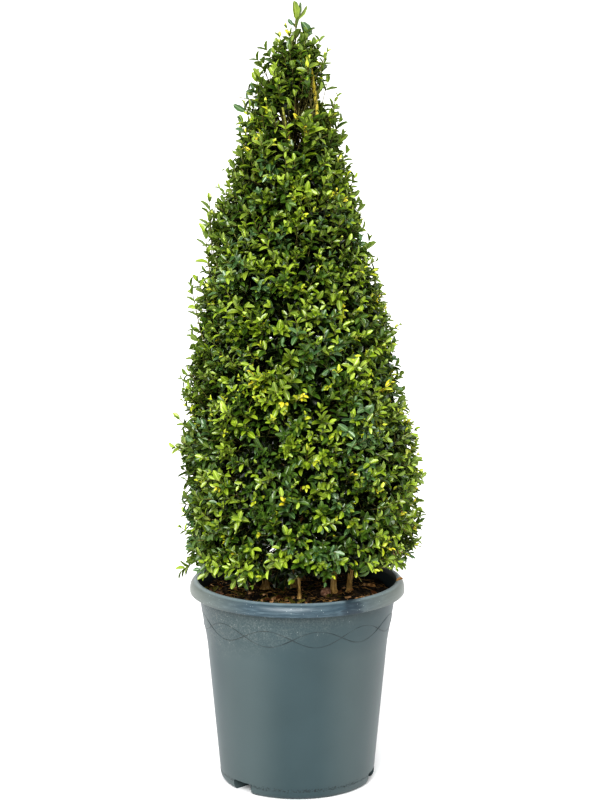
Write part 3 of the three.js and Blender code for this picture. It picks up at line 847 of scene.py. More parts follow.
@dataclass
class Studio:
    """A wide pale floor in a tent of light, with a soft key from above, left and front."""

    floor_size: float = 240.0
    overhead: float = 0.85
    front: float = 0.12
    back: float = 0.82
    skyline: float = 1.0
    key_strength: float = 3.3
    key_spread: float = math.radians(40)
    key_tilt: float = math.radians(58)
    key_turn: float = math.radians(-10)
    look: str = "High Contrast"
    # the tent's blends: from front to back along Y, from the walls to overhead and from the skyline up
    depth_blend: tuple[float, float] = (-0.9, 0.25)
    height_blend: tuple[float, float] = (0.15, 0.9)
    skyline_blend: tuple[float, float] = (0.04, 0.12)

    def build(self) -> None:
        """Add the floor, the tent and the key light."""
        deselect()
        bpy.ops.mesh.primitive_plane_add(size=self.floor_size, location=(0, 0, 0))
        floor = bpy.context.active_object
        floor.name = "studio_floor"
        floor.data.materials.append(FLOOR.material())
        self.hang_tent()
        data = bpy.data.lights.new("key", "SUN")
        data.energy = self.key_strength
        data.angle = self.key_spread
        key = bpy.data.objects.new("key", data)
        key.rotation_euler = (self.key_tilt, 0.0, self.key_turn)
        bpy.context.scene.collection.objects.link(key)
        view = bpy.context.scene.view_settings
        view.view_transform = "Standard"
        view.look = self.look

    def hang_tent(self) -> None:
        """Light the world: bright overhead and behind, dim in front, white along the skyline."""
        world = bpy.data.worlds.new("tent")
        world.use_nodes = True
        tree = world.node_tree
        background = tree.nodes["Background"]
        background.inputs["Color"].default_value = linear("#ffffff")
        heading = add_node(tree, "ShaderNodeTexCoord").outputs["Generated"]
        axes = add_node(tree, "ShaderNodeSeparateXYZ", None, {0: heading})
        round_about = add_node(tree, "ShaderNodeMapRange", None,
                               {"Value": axes.outputs["Y"], FROM: self.depth_blend,
                                TO: (self.front, self.back)})
        dome = add_node(tree, "ShaderNodeMapRange", None,
                        {"Value": axes.outputs["Z"], FROM: self.height_blend,
                         TO: (round_about.outputs[0], self.overhead)})
        strength = add_node(tree, "ShaderNodeMapRange", {"interpolation_type": "SMOOTHSTEP"},
                            {"Value": axes.outputs["Z"], FROM: self.skyline_blend,
                             TO: (self.skyline, dome.outputs[0])})
        tree.links.new(strength.outputs[0], background.inputs["Strength"])
        bpy.context.scene.world = world


# ---- pot ----------------------------------------------------------------------------------------


@dataclass
class NurseryPot:
    """The round tapered pot: flared band, rolled lip, looped line, foot groove and drain notches."""

    wall: float = 2.6 * MM
    base: float = 3.0 * MM
    contact_radius: float = 105 * MM
    corner_steps: int = 5
    heights: tuple[float, ...] = (0.012, 0.208, 0.243, 0.262, 0.297)
    radii: tuple[float, ...] = (0.1124, 0.1306, 0.1369, 0.1398, 0.1456)
    blend: float = 9 * MM
    blend_samples: int = 9
    wall_start: float = 0.024
    wall_rows: int = 26
    lip_radius: float = 155 * MM
    lip_drop: float = 18.5 * MM
    lip_round: float = 10.5 * MM
    lip_rise: float = 13.5 * MM
    lip_steps: int = 8
    # the lip's underside: how far in from its edge and how far up from its lowest point
    lip_under: tuple[tuple[float, float], ...] = (
        (2.6 * MM, 1.2 * MM), (2.2 * MM, 0.0), (0.7 * MM, 0.0), (0.0, 0.9 * MM))
    # the mouth's rounded edge: how far out from the inner wall and how far down from the top
    mouth: tuple[tuple[float, float], ...] = ((0.5 * MM, 0.3 * MM), (0.0, 1.2 * MM))
    mouth_depth: float = 8 * MM
    inner_rows: int = 12
    groove_height: float = 13.8 * MM
    groove_depth: float = 0.25 * MM
    groove_half_widths: tuple[float, float] = (1.6 * MM, 0.5 * MM)
    spin_steps: int = 132
    notch_width: float = 34 * MM
    notch_height: float = 16 * MM
    notch_reach: tuple[float, float] = (74 * MM, 130 * MM)
    notch_round: float = 2 * MM
    notch_angles: tuple[float, ...] = (-45.0, 75.0, 195.0)
    housing_top: float = 40 * MM
    housing_inset: float = 0.3 * MM
    smooth_angle: float = math.radians(38)
    loops: int = 12
    loop_steps: int = 36
    loop_sides: int = 6
    loop_height: float = 0.2415
    loop_reach: float = 11.8 * MM
    loop_start: float = math.radians(-3.0)
    loop_bead: float = 0.60 * MM
    # a line's thickness in beads: its mean, its wear, what a crossing adds, and its least
    bead_mean: float = 0.62
    bead_wear: float = 0.75
    bead_crossing: float = 0.55
    bead_least: float = 0.25
    bead_sunk: float = 0.3
    wear_scale: float = 9.0
    crossing_power: int = 12

    def wall_radius(self, height: float) -> float:
        """Give the outer wall's radius at a height, with its bends blended."""
        spread = np.linspace(-self.blend, self.blend, self.blend_samples)
        return float(np.mean(np.interp(height + spread, self.heights, self.radii)))

    def section(self) -> list[tuple[float, float]]:
        """Draw the wall's closed section.

        Returns:
            Its (radius, height) points, out along the foot, up the wall and back down inside.
        """
        top = self.heights[-1]
        low = top - self.lip_drop
        foot = [(0.0, 0.0), (self.contact_radius, 0.0)]
        corner = self.wall_radius(self.heights[0])
        for i in range(1, self.corner_steps + 1):
            angle = math.pi / 2 * i / self.corner_steps
            foot.append((self.contact_radius + (corner - self.contact_radius) * math.sin(angle),
                         self.heights[0] * (1 - math.cos(angle))))
        wide, narrow = self.groove_half_widths
        groove = [
            (self.wall_radius(self.groove_height) - depth, self.groove_height + rise)
            for rise, depth in ((-wide, 0), (-narrow, self.groove_depth),
                                (narrow, self.groove_depth), (wide, 0))
        ]
        levels = np.linspace(self.wall_start, low + MM, self.wall_rows)
        wall = [(self.wall_radius(z), z) for z in levels]
        lip = [(self.lip_radius - inset, low + rise) for inset, rise in self.lip_under]
        for i in range(self.lip_steps + 1):
            angle = math.pi / 2 * i / self.lip_steps
            lip.append((self.lip_radius - self.lip_round * (1 - math.cos(angle)),
                        top - self.lip_rise * (1 - math.sin(angle))))
        inner_top = self.radii[-1] - self.wall
        inner = [(inner_top + out, top - down) for out, down in self.mouth]
        for z in np.linspace(top - self.mouth_depth, self.heights[0] + self.base, self.inner_rows):
            inner.append((self.wall_radius(z) - self.wall, float(z)))
        inner += [(self.contact_radius - self.wall, self.base), (0.0, self.base)]
        return foot + groove + wall + lip + inner

    def spun(self, name: str, section: list[tuple[float, float]]) -> bpy.types.Object:
        """Spin a closed section round the pot's axis.

        Args:
            name: The new piece's name.
            section: Its (radius, height) points, in order.

        Returns:
            The spun solid.
        """
        deselect()
        bpy.ops.mesh.primitive_circle_add(vertices=len(section), radius=0.1)
        solid = bpy.context.active_object
        solid.name = name
        for vertex, (radius, height) in zip(solid.data.vertices, section):
            vertex.co = (radius, 0.0, height)
        bpy.ops.object.mode_set(mode="EDIT")
        bpy.ops.mesh.select_all(action="SELECT")
        bpy.ops.mesh.spin(steps=self.spin_steps, angle=TURN, center=(0, 0, 0), axis=(0, 0, 1))
        bpy.ops.mesh.select_all(action="SELECT")
        bpy.ops.mesh.remove_doubles(threshold=1e-5)
        bpy.ops.mesh.delete_loose()
        bpy.ops.mesh.select_all(action="SELECT")
        bpy.ops.mesh.normals_make_consistent(inside=False)
        bpy.ops.object.mode_set(mode="OBJECT")
        return solid

    def shell(self) -> bpy.types.Object:
        """Spin the section into the pot's shell, with its housed drain notches.

        Returns:
            The shell, smooth but for its sharp edges.
        """
        shell = self.spun("pot_shell", self.section())
        for angle in self.notch_angles:
            housing = self.notch_block(math.radians(angle), self.wall)
            core = self.spun("pot_core", self.core_section())
            apply_modifier(housing, "BOOLEAN", operation="INTERSECT", object=core, solver="EXACT")
            apply_modifier(shell, "BOOLEAN", operation="UNION", object=housing, solver="EXACT")
            notch = self.notch_block(math.radians(angle), 0.0)
            apply_modifier(shell, "BOOLEAN", operation="DIFFERENCE", object=notch, solver="EXACT")
            for tool in (housing, core, notch):
                bpy.data.objects.remove(tool)
        bpy.context.view_layer.objects.active = shell
        shell.select_set(True)
        bpy.ops.object.shade_smooth_by_angle(angle=self.smooth_angle)
        return shell

    def core_section(self) -> list[tuple[float, float]]:
        """Draw the section of the space that a notch's housing keeps to, just inside the wall.

        Returns:
            Its (radius, height) points.
        """
        inset = self.housing_inset
        return [(0.0, inset), (self.contact_radius - inset, inset),
                (self.wall_radius(self.heights[0]) - 2 * inset, self.heights[0]),
                (self.wall_radius(self.housing_top) - 2 * inset, self.housing_top),
                (0.0, self.housing_top)]

    def notch_block(self, azimuth: float, margin: float) -> bpy.types.Object:
        """Make the rounded block that cuts or houses one drain notch.

        Args:
            azimuth: The notch's angle from the front.
            margin: How far the block is grown on each side.

        Returns:
            The block.
        """
        deselect()
        near, far = self.notch_reach[0] - margin, self.notch_reach[1]
        place = radial(np.array(azimuth)) * (near + far) / 2
        bpy.ops.mesh.primitive_cube_add(size=1, location=tuple(place))
        block = bpy.context.active_object
        block.scale = (self.notch_width + 2 * margin, far - near, 2 * (self.notch_height + margin))
        block.rotation_euler = (0, 0, azimuth)
        settle(block)
        bpy.ops.object.select_all(action="DESELECT")
        block.select_set(True)
        bpy.ops.object.mode_set(mode="EDIT")
        bpy.ops.mesh.select_all(action="SELECT")
        bpy.ops.mesh.bevel(offset=self.notch_round, segments=3)
        bpy.ops.object.mode_set(mode="OBJECT")
        return block

    def bead(self, turn: float, side: int) -> float:
        """Give a loop line's thickness: uneven all along, and thickest where two lines cross.

        Args:
            turn: The angle from the chain's start.
            side: Which of the two lines, 1 or -1.

        Returns:
            The thickness in metres.
        """
        x, y = math.sin(turn) * self.wear_scale, math.cos(turn) * self.wear_scale
        worn = self.bead_mean + self.bead_wear * noise.noise(Vector((x, y, side)))
        crossing = self.bead_crossing * abs(math.cos(self.loops * turn / 2)) ** self.crossing_power
        return self.loop_bead * max(worn + crossing, self.bead_least)

    def loop_lines(self) -> bpy.types.Object:
        """Raise the chain of loops on the flared band: two waves that cross and cross again.

        Returns:
            Both waves as one piece.
        """
        steps = self.loops * self.loop_steps
        turns = np.linspace(0, TURN, steps, endpoint=False)
        waves = []
        for side in (1, -1):
            heights = self.loop_height + side * self.loop_reach * np.sin(self.loops * turns / 2)
            beads = np.array([self.bead(turn, side) for turn in turns])
            radii = np.array([self.wall_radius(z) for z in heights]) - self.bead_sunk * beads
            centres = radial(turns + self.loop_start) * radii[:, None] + heights[:, None] * UP
            waves.append(ribbon("pot_loops", centres, beads, self.loop_sides, closed=True))
        deselect()
        for wave in waves:
            wave.select_set(True)
        bpy.context.view_layer.objects.active = waves[0]
        bpy.ops.object.join()
        return waves[0]

    def rim_faces(self, shell: bpy.types.Object) -> None:
        """Give the lip its own, rubbed finish.

        Args:
            shell: The pot's shell, dressed in its first finish.
        """
        shell.data.materials.append(RimPlastic().material())
        low = self.heights[-1] - self.lip_drop - 0.5 * MM
        for face in shell.data.polygons:
            centre = face.center
            reach = math.hypot(centre.x, centre.y)
            if centre.z > low and reach > self.radii[-1] - 2 * self.wall - MM:
                face.material_index = 1

    def build(self) -> None:
        """Build the shell and the looped line, and dress them."""
        plastic = PotPlastic().material()
        shell = self.shell()
        dress(shell, plastic, ("pot",))
        self.rim_faces(shell)
        dress(self.loop_lines(), LINE_PLASTIC.material())


def ribbon(name: str, centres: np.ndarray, radii: np.ndarray, sides: int,
           closed: bool = False) -> bpy.types.Object:
    """Make a round limb along a line of points.

    Args:
        name: The piece's name.
        centres: The points that the limb follows.
        radii: Its radius at each point.
        sides: How many sides its section has.
        closed: Whether the last point meets the first.

    Returns:
        The new piece, capped at its ends where it isn't closed.
    """
    count = len(centres)
    if closed:
        along = unit(np.roll(centres, -1, 0) - np.roll(centres, 1, 0))
    else:
        along = unit(np.gradient(centres, axis=0))
    guide = np.where(np.abs(along[:, 2:3]) < 0.8, UP, np.array([1.0, 0.0, 0.0]))
    first = unit(np.cross(along, guide))
    second = np.cross(along, first)
    angles = np.linspace(0, TURN, sides, endpoint=False)
    around = (first[:, None] * np.cos(angles)[None, :, None]
              + second[:, None] * np.sin(angles)[None, :, None])
    points = (centres[:, None] + around * np.asarray(radii)[:, None, None]).reshape(-1, 3)
    faces = []
    for ring in range(count if closed else count - 1):
        after = (ring + 1) % count
        for side in range(sides):
            beside = (side + 1) % sides
            a, b = ring * sides + side, ring * sides + beside
            c, d = after * sides + beside, after * sides + side
            faces += [(a, d, c), (a, c, b)]
    if not closed:
        for end in (0, count - 1):
            ring = [end * sides + i for i in range(sides)]
            fan = [(ring[0], ring[i], ring[i + 1]) for i in range(1, sides - 1)]
            faces += fan if end == 0 else [(a, c, b) for a, b, c in fan]
    piece = mesh_piece(name, points, np.array(faces))
    deselect()
    piece.select_set(True)
    bpy.context.view_layer.objects.active = piece
    bpy.ops.object.mode_set(mode="EDIT")
    bpy.ops.mesh.select_all(action="SELECT")
    bpy.ops.mesh.normals_make_consistent(inside=False)
    bpy.ops.object.mode_set(mode="OBJECT")
    return piece


# ---- compost ------------------------------------------------------------------------------------


@dataclass
class Compost:
    """The compost in the pot: a rough crust with bark chips, root fibres, moss and shed leaves."""

    radius: float = 0.1375
    level: float = 0.279
    sink: float = 4 * MM
    depth: float = 9 * MM
    edge_points: int = 48
    cuts: int = 12
    narrowing: float = 0.97
    # the crust's roughness: its scale, its slice of the noise, and the noise's fall, step and octaves
    rough_depth: float = 3.4 * MM
    rough_scale: float = 45.0
    rough_slice: float = 1.7
    rough_noise: tuple[float, float, int] = (0.8, 2.1, 5)
    # of what lies on it, each pair is the least value and how much chance adds to it
    chips: int = 460
    chip_lengths: tuple[float, float] = (3.0 * MM, 10.0 * MM)
    pale_chips: int = 120
    pale_lengths: tuple[float, float] = (2.5 * MM, 7.5 * MM)
    chip_widths: tuple[float, float] = (0.4, 0.4)
    chip_depths: tuple[float, float] = (0.16, 0.2)
    chip_lift: float = 1.0 * MM
    chip_tilt: float = 0.45
    fibres: int = 360
    fibre_lengths: tuple[float, float] = (8 * MM, 18 * MM)
    fibre_rises: tuple[float, float] = (1.0 * MM, 2.5 * MM)
    fibre_swing: float = 0.25
    fibre_radius: float = 0.45 * MM
    fibre_lift: float = 1.4 * MM
    tufts: int = 200
    tuft_sizes: tuple[float, float] = (3 * MM, 7 * MM)
    tuft_shares: tuple[float, float, float] = (1.0, 0.8, 0.45)
    tuft_tilt: float = 0.2
    moss_gathered: float = 0.62
    moss_side: float = math.radians(-38)
    dead_leaves: int = 90
    dead_lengths: tuple[float, float] = (9 * MM, 8 * MM)
    dead_width: float = 0.55
    dead_tilt: float = 0.55
    dead_lift: float = 2.5 * MM
    rim_leaf: tuple[float, float, float] = (0.141, -0.036, 0.301)
    clod_place: tuple[float, float] = (0.041, -0.036)
    clod_radius: float = 7.5 * MM
    clod_sunk: float = 0.5
    # x, y and length in mm of the pale bits that stand out, and their width and depth as shares
    marked_bits: tuple[tuple[float, float, float], ...] = (
        (-0.032, -0.056, 14.0), (0.002, -0.084, 13.0), (0.012, -0.078, 9.0), (-0.016, -0.066, 8.0),
        (-0.066, -0.030, 10.0), (0.094, -0.044, 9.0), (0.024, -0.092, 8.0),
    )
    marked_shares: tuple[float, float] = (0.4, 0.3)
    marked_lift: float = 2 * MM
    seed: int = 3

    def height(self, x: float, y: float) -> float:
        """Give the crust's height over a point.

        Args:
            x: The point's X.
            y: The point's Y.

        Returns:
            The height in metres, lower towards the wall.
        """
        seat = Vector((x * self.rough_scale, y * self.rough_scale, self.rough_slice))
        rough = noise.fractal(seat, *self.rough_noise)
        mound = 1 - min(math.hypot(x, y) / self.radius, 1) ** 4
        return self.level + (mound - 1) * self.sink + self.rough_depth * rough

    def crust(self) -> bpy.types.Object:
        """Model the compost's surface, its edge turned down inside the pot.

        Returns:
            The crust.
        """
        deselect()
        bpy.ops.mesh.primitive_circle_add(vertices=self.edge_points, radius=self.radius,
                                          fill_type="TRIFAN", location=(0, 0, self.level))
        crust = bpy.context.active_object
        crust.name = "compost_crust"
        bpy.ops.object.mode_set(mode="EDIT")
        bpy.ops.mesh.select_all(action="SELECT")
        bpy.ops.mesh.subdivide(number_cuts=self.cuts)
        bpy.ops.object.mode_set(mode="OBJECT")
        settle(crust)
        for vertex in crust.data.vertices:
            x, y = vertex.co.x, vertex.co.y
            drawn_in = self.radius / max(math.hypot(x, y), self.radius)
            vertex.co = (x * drawn_in, y * drawn_in, self.height(x, y))
        deselect()
        crust.select_set(True)
        bpy.context.view_layer.objects.active = crust
        bpy.ops.object.mode_set(mode="EDIT")
        bpy.ops.mesh.select_all(action="SELECT")
        bpy.ops.mesh.region_to_loop()
        bpy.ops.mesh.extrude_edges_move(TRANSFORM_OT_translate={"value": (0, 0, -self.depth)})
        bpy.ops.transform.resize(value=(self.narrowing, self.narrowing, 1.0))
        bpy.ops.mesh.select_all(action="SELECT")
        bpy.ops.mesh.normals_make_consistent(inside=False)
        bpy.ops.object.mode_set(mode="OBJECT")
        bpy.ops.object.shade_smooth()
        return crust

    def spread(self, count: int, rng: np.random.Generator, lift: float,
               gathered: float = 0.0) -> np.ndarray:
        """Deal points over the crust.

        Args:
            count: How many points.
            rng: The source of chance.
            lift: How far they lie above the crust.
            gathered: How closely they gather left of the front, from 0 to 1.

        Returns:
            The points, one row each.
        """
        reach = self.radius * self.narrowing * np.sqrt(rng.random(count))
        azimuth = self.moss_side + (rng.random(count) - 0.5) * TURN * (1 - gathered)
        places = radial(azimuth) * reach[:, None]
        places[:, 2] = [self.height(x, y) + lift for x, y, _ in places]
        return places

    def frames(self, count: int, rng: np.random.Generator, tilt: float) -> np.ndarray:
        """Give each thing that lies on the crust a heading and a tilt.

        Args:
            count: How many things.
            rng: The source of chance.
            tilt: The largest share of tilt out of the level.

        Returns:
            Three unit axes for each, as the rows of a matrix.
        """
        heading = radial(rng.random(count) * TURN)
        heading = unit(heading + UP * (rng.random((count, 1)) - 0.5) * 2 * tilt)
        normal = unit(UP + (rng.random((count, 3)) - 0.5) * 2 * tilt)
        across = unit(np.cross(normal, heading))
        return np.stack([heading, across, np.cross(heading, across)], 1)

    def chip_shape(self) -> tuple[np.ndarray, np.ndarray]:
        """Model one chip: a thin block with broken, rounded edges.

        Returns:
            Its points and triangles, about one unit across.
        """
        deselect()
        bpy.ops.mesh.primitive_cube_add(size=1)
        chip = bpy.context.active_object
        bpy.ops.object.mode_set(mode="EDIT")
        bpy.ops.mesh.select_all(action="SELECT")
        bpy.ops.mesh.bevel(offset=0.16, segments=1)
        bpy.ops.object.mode_set(mode="OBJECT")
        # noise vectors start from the clock unless they are seeded
        noise.seed_set(self.seed)
        for vertex in chip.data.vertices:
            vertex.co += noise.noise_vector(vertex.co * 2.3) * 0.22
        return template_of(chip)

    def tuft_shape(self) -> tuple[np.ndarray, np.ndarray]:
        """Model one cushion of moss.

        Returns:
            Its points and triangles, about one unit across.
        """
        deselect()
        bpy.ops.mesh.primitive_ico_sphere_add(subdivisions=2, radius=0.5)
        tuft = bpy.context.active_object
        for vertex in tuft.data.vertices:
            vertex.co *= 1 + 0.5 * noise.noise(vertex.co * 5.0)
        return template_of(tuft)

    def build(self) -> None:
        """Build the crust and all that lies on it, and dress them."""
        rng = np.random.default_rng(self.seed)
        dress(self.crust(), COMPOST.material(), ("potting_soil",))
        self.lay_chips("bark_chips", CHIP, self.chips, self.chip_lengths, rng)
        self.lay_chips("pale_chips", PALE_CHIP, self.pale_chips, self.pale_lengths, rng,
                       self.marked_bits)
        self.lay_moss(rng)
        self.lay_fibres(rng)
        self.shed_leaves(rng)
        self.clod()

    def lay_chips(self, name: str, finish: Grained, count: int, lengths: tuple[float, float],
                  rng: np.random.Generator, marked: tuple[tuple[float, ...], ...] = ()) -> None:
        """Scatter chips over the crust, more of them short than long.

        Args:
            name: The piece's name.
            finish: The chips' finish.
            count: How many chips.
            lengths: The least length, and how much chance adds to it.
            rng: The source of chance.
            marked: The places and lengths of the first few chips.
        """
        length = lengths[0] + lengths[1] * rng.random(count) ** 2
        sizes = np.stack([length, length * drawn(rng, self.chip_widths, count),
                          length * drawn(rng, self.chip_depths, count)], 1)
        places = self.spread(count, rng, self.chip_lift)
        for i, (x, y, long) in enumerate(marked):
            places[i] = (x, y, self.height(x, y) + self.marked_lift)
            sizes[i] = np.array([1.0, *self.marked_shares]) * long * MM
        frames = self.frames(count, rng, self.chip_tilt)
        piece = scattered(name, self.chip_shape(), places, frames, sizes)
        dress(piece, finish.material())

    def lay_moss(self, rng: np.random.Generator) -> None:
        """Set cushions of moss on the crust, gathered left of the front.

        Args:
            rng: The source of chance.
        """
        sizes = drawn(rng, self.tuft_sizes, (self.tufts, 1)) * np.array([self.tuft_shares])
        places = self.spread(self.tufts, rng, 0.0, self.moss_gathered)
        frames = self.frames(self.tufts, rng, self.tuft_tilt)
        piece = scattered("moss", self.tuft_shape(), places, frames, sizes)
        dress(piece, MOSS.material())

    def shed_leaves(self, rng: np.random.Generator) -> None:
        """Lay dead leaves on the crust, and one on the rim.

        Args:
            rng: The source of chance.
        """
        count = self.dead_leaves
        places = np.vstack([self.spread(count, rng, self.dead_lift), [self.rim_leaf]])
        length = drawn(rng, self.dead_lengths, count + 1)
        sizes = np.stack([length, length * self.dead_width, length], 1)
        frames = self.frames(count + 1, rng, self.dead_tilt)
        for tone in ShedTone:
            chosen = np.arange(count + 1) % len(ShedTone) == list(ShedTone).index(tone)
            piece = scattered(tone.value.name, BLADE.shape(), places[chosen], frames[chosen],
                              sizes[chosen])
            dress(piece, tone.value.material())

    def clod(self) -> None:
        """Model the one round clod that lies among the stems."""
        deselect()
        bpy.ops.mesh.primitive_ico_sphere_add(subdivisions=4, radius=1)
        clod = bpy.context.active_object
        clod.name = "clod"
        x, y = self.clod_place
        centre = Vector((x, y, self.height(x, y) + self.clod_sunk * self.clod_radius))
        for vertex in clod.data.vertices:
            swell = 1 + 0.25 * noise.noise(vertex.co * 1.7) + 0.08 * noise.noise(vertex.co * 6)
            vertex.co = centre + vertex.co * self.clod_radius * swell
        bpy.ops.object.shade_smooth()
        dress(clod, CLOD.material())

    def lay_fibres(self, rng: np.random.Generator) -> None:
        """Lay short root fibres on the crust, each a bent thread.

        Args:
            rng: The source of chance.
        """
        starts = self.spread(self.fibres, rng, self.fibre_lift)
        heading = radial(rng.random(self.fibres) * TURN)
        length = drawn(rng, self.fibre_lengths, (self.fibres, 1))
        rise = drawn(rng, self.fibre_rises, (self.fibres, 1))
        middle = starts + heading * length * 0.5 + UP * rise
        swing = radial(rng.random(self.fibres) * TURN) * length * self.fibre_swing
        ends = starts + heading * length + swing
        inside = np.linalg.norm(ends[:, :2], axis=1) < self.radius * 0.98
        for points in (middle, ends):
            points[:, 2] = np.maximum(points[:, 2], [self.height(x, y) + MM for x, y, _ in points])
        radius = np.full(inside.sum(), self.fibre_radius)
        segments = Segments()
        segments.add(starts[inside], middle[inside], radius, radius)
        segments.add(middle[inside], ends[inside], radius, radius * 0.6)
        dress(segments.piece("root_fibres"), FIBRE.material())


# ---- growth -------------------------------------------------------------------------------------


@dataclass
class Segments:
    """Straight three-sided lengths of twig, gathered to be joined."""

    starts: list[np.ndarray] = field(default_factory=list)
    ends: list[np.ndarray] = field(default_factory=list)
    thick: list[np.ndarray] = field(default_factory=list)
    thin: list[np.ndarray] = field(default_factory=list)

    def add(self, start: np.ndarray, end: np.ndarray, thick: np.ndarray, thin: np.ndarray) -> None:
        """Add lengths of twig.

        Args:
            start: Where each length begins.
            end: Where it ends.
            thick: Its radius at the start.
            thin: Its radius at the end.
        """
        self.starts.append(start)
        self.ends.append(end)
        self.thick.append(thick)
        self.thin.append(thin)

    def piece(self, name: str, sides: int = 3) -> bpy.types.Object:
        """Join all the lengths into one piece.

        Args:
            name: The piece's name.
            sides: How many sides each length has.

        Returns:
            The joined piece.
        """
        start, end = np.concatenate(self.starts), np.concatenate(self.ends)
        thick, thin = np.concatenate(self.thick), np.concatenate(self.thin)
        along = unit(end - start)
        guide = np.where(np.abs(along[:, 2:3]) < 0.8, UP, np.array([1.0, 0.0, 0.0]))
        first = unit(np.cross(along, guide))
        second = np.cross(along, first)
        angles = np.linspace(0, TURN, sides, endpoint=False)
        ring = (first[:, None] * np.cos(angles)[None, :, None]
                + second[:, None] * np.sin(angles)[None, :, None])
        low = start[:, None] + ring * thick[:, None, None]
        high = end[:, None] + ring * thin[:, None, None]
        points = np.concatenate([low, high], 1)
        faces = []
        for side in range(sides):
            beside = (side + 1) % sides
            faces += [(side, beside, sides + beside), (side, sides + beside, sides + side)]
        for side in range(1, sides - 1):
            faces += [(0, side + 1, side), (sides, sides + side, sides + side + 1)]
        offsets = np.arange(len(start))[:, None, None] * 2 * sides
        joined = (np.array(faces)[None] + offsets).reshape(-1, 3)
        return mesh_piece(name, points.reshape(-1, 3), joined)


@dataclass
class ClippedCone:
    """The clipped outline: girth, lean and clumps, by the same law as the solids."""

    floor: float = 0.306
    widest: float = 0.400
    top: float = 1.100
    widest_radius: float = 0.173
    tip_radius: float = 0.020
    skirt_radius: float = 0.160
    taper: float = 1.6
    clump: float = 0.035
    lean_heights: tuple[float, ...] = (0.30, 0.44, 0.50, 0.60, 0.70, 0.80, 0.88, 1.00, 1.04)
    lean_shifts: tuple[float, ...] = (0.004, 0.007, 0.001, -0.002, -0.011, -0.013, -0.010, -0.010, -0.002)
    hem_angles: tuple[float, ...] = (-180, -90, -50, -25, -6, 22, 50, 90, 180)
    hem_heights: tuple[float, ...] = (0.314, 0.307, 0.318, 0.323, 0.328, 0.334, 0.328, 0.316, 0.314)
    # each wave of the ragged hem: its height, its turn per degree and its start
    hem_waves: tuple[tuple[float, float, float], ...] = ((0.006, 0.31, 0.0), (0.004, 0.83, 1.0))
    heart_height: float = 0.324
    heart_radius: float = 0.125
    heart_blend: float = 0.03
    # each wave of the clumps: how many go round, its pitch in height and its share
    clump_waves: tuple[tuple[int, float, float], ...] = ((3, 0.045, 0.6), (5, -0.028, 0.4))
    least_reach: float = 0.002

    def axis(self, z: np.ndarray) -> np.ndarray:
        """Give the cone's leaning axis at heights."""
        x = np.interp(z, self.lean_heights, self.lean_shifts)
        return np.stack([x, np.zeros_like(x), z], -1)

    def hem(self, points: np.ndarray) -> np.ndarray:
        """Give the height under which no leaf hangs, lower at the skirt than round the stems.

        Args:
            points: Where to ask, one row each.

        Returns:
            The height over each point.
        """
        azimuth = np.degrees(np.arctan2(points[:, 0], -points[:, 1]))
        skirt = np.interp(azimuth, self.hem_angles, self.hem_heights)
        ragged = sum(high * np.sin(azimuth * rate + start) for high, rate, start in self.hem_waves)
        reach = np.hypot(points[:, 0], points[:, 1])
        inside = np.clip((self.heart_radius - reach) / self.heart_blend, 0, 1)
        return skirt + ragged + (self.heart_height - skirt) * inside

    def girth(self, azimuth: np.ndarray, z: np.ndarray) -> np.ndarray:
        """Give the clipped surface's radius, with its shallow clumps.

        Args:
            azimuth: Angles round the axis, from the front.
            z: Heights.

        Returns:
            The radius at each.
        """
        below = np.clip((self.widest - z) / (self.widest - self.floor), 0, 1)
        skirt = self.widest_radius + (self.skirt_radius - self.widest_radius) * below**2
        share = np.clip((z - self.widest) / (self.top - self.widest), 0, 1)
        cone = self.tip_radius + (self.widest_radius - self.tip_radius) * (1 - share**self.taper)
        waves = sum(np.sin(number * azimuth + z / pitch) * part
                    for number, pitch, part in self.clump_waves)
        clumps = 1 + self.clump * waves
        return np.where(z < self.widest, skirt, cone) * clumps

    def surface(self, azimuth: np.ndarray, z: np.ndarray, inset: np.ndarray) -> np.ndarray:
        """Give points a given depth inside the clipped surface."""
        reach = np.maximum(self.girth(azimuth, z) - inset, self.least_reach)
        return self.axis(z) + radial(azimuth) * reach[:, None]

    def depth(self, points: np.ndarray) -> np.ndarray:
        """Tell how deep points lie inside the clipped surface.

        Args:
            points: The points, one row each.

        Returns:
            The depths, below zero outside.
        """
        level = points - self.axis(points[:, 2])
        azimuth = np.arctan2(level[:, 0], -level[:, 1])
        return self.girth(azimuth, points[:, 2]) - np.hypot(level[:, 0], level[:, 1])


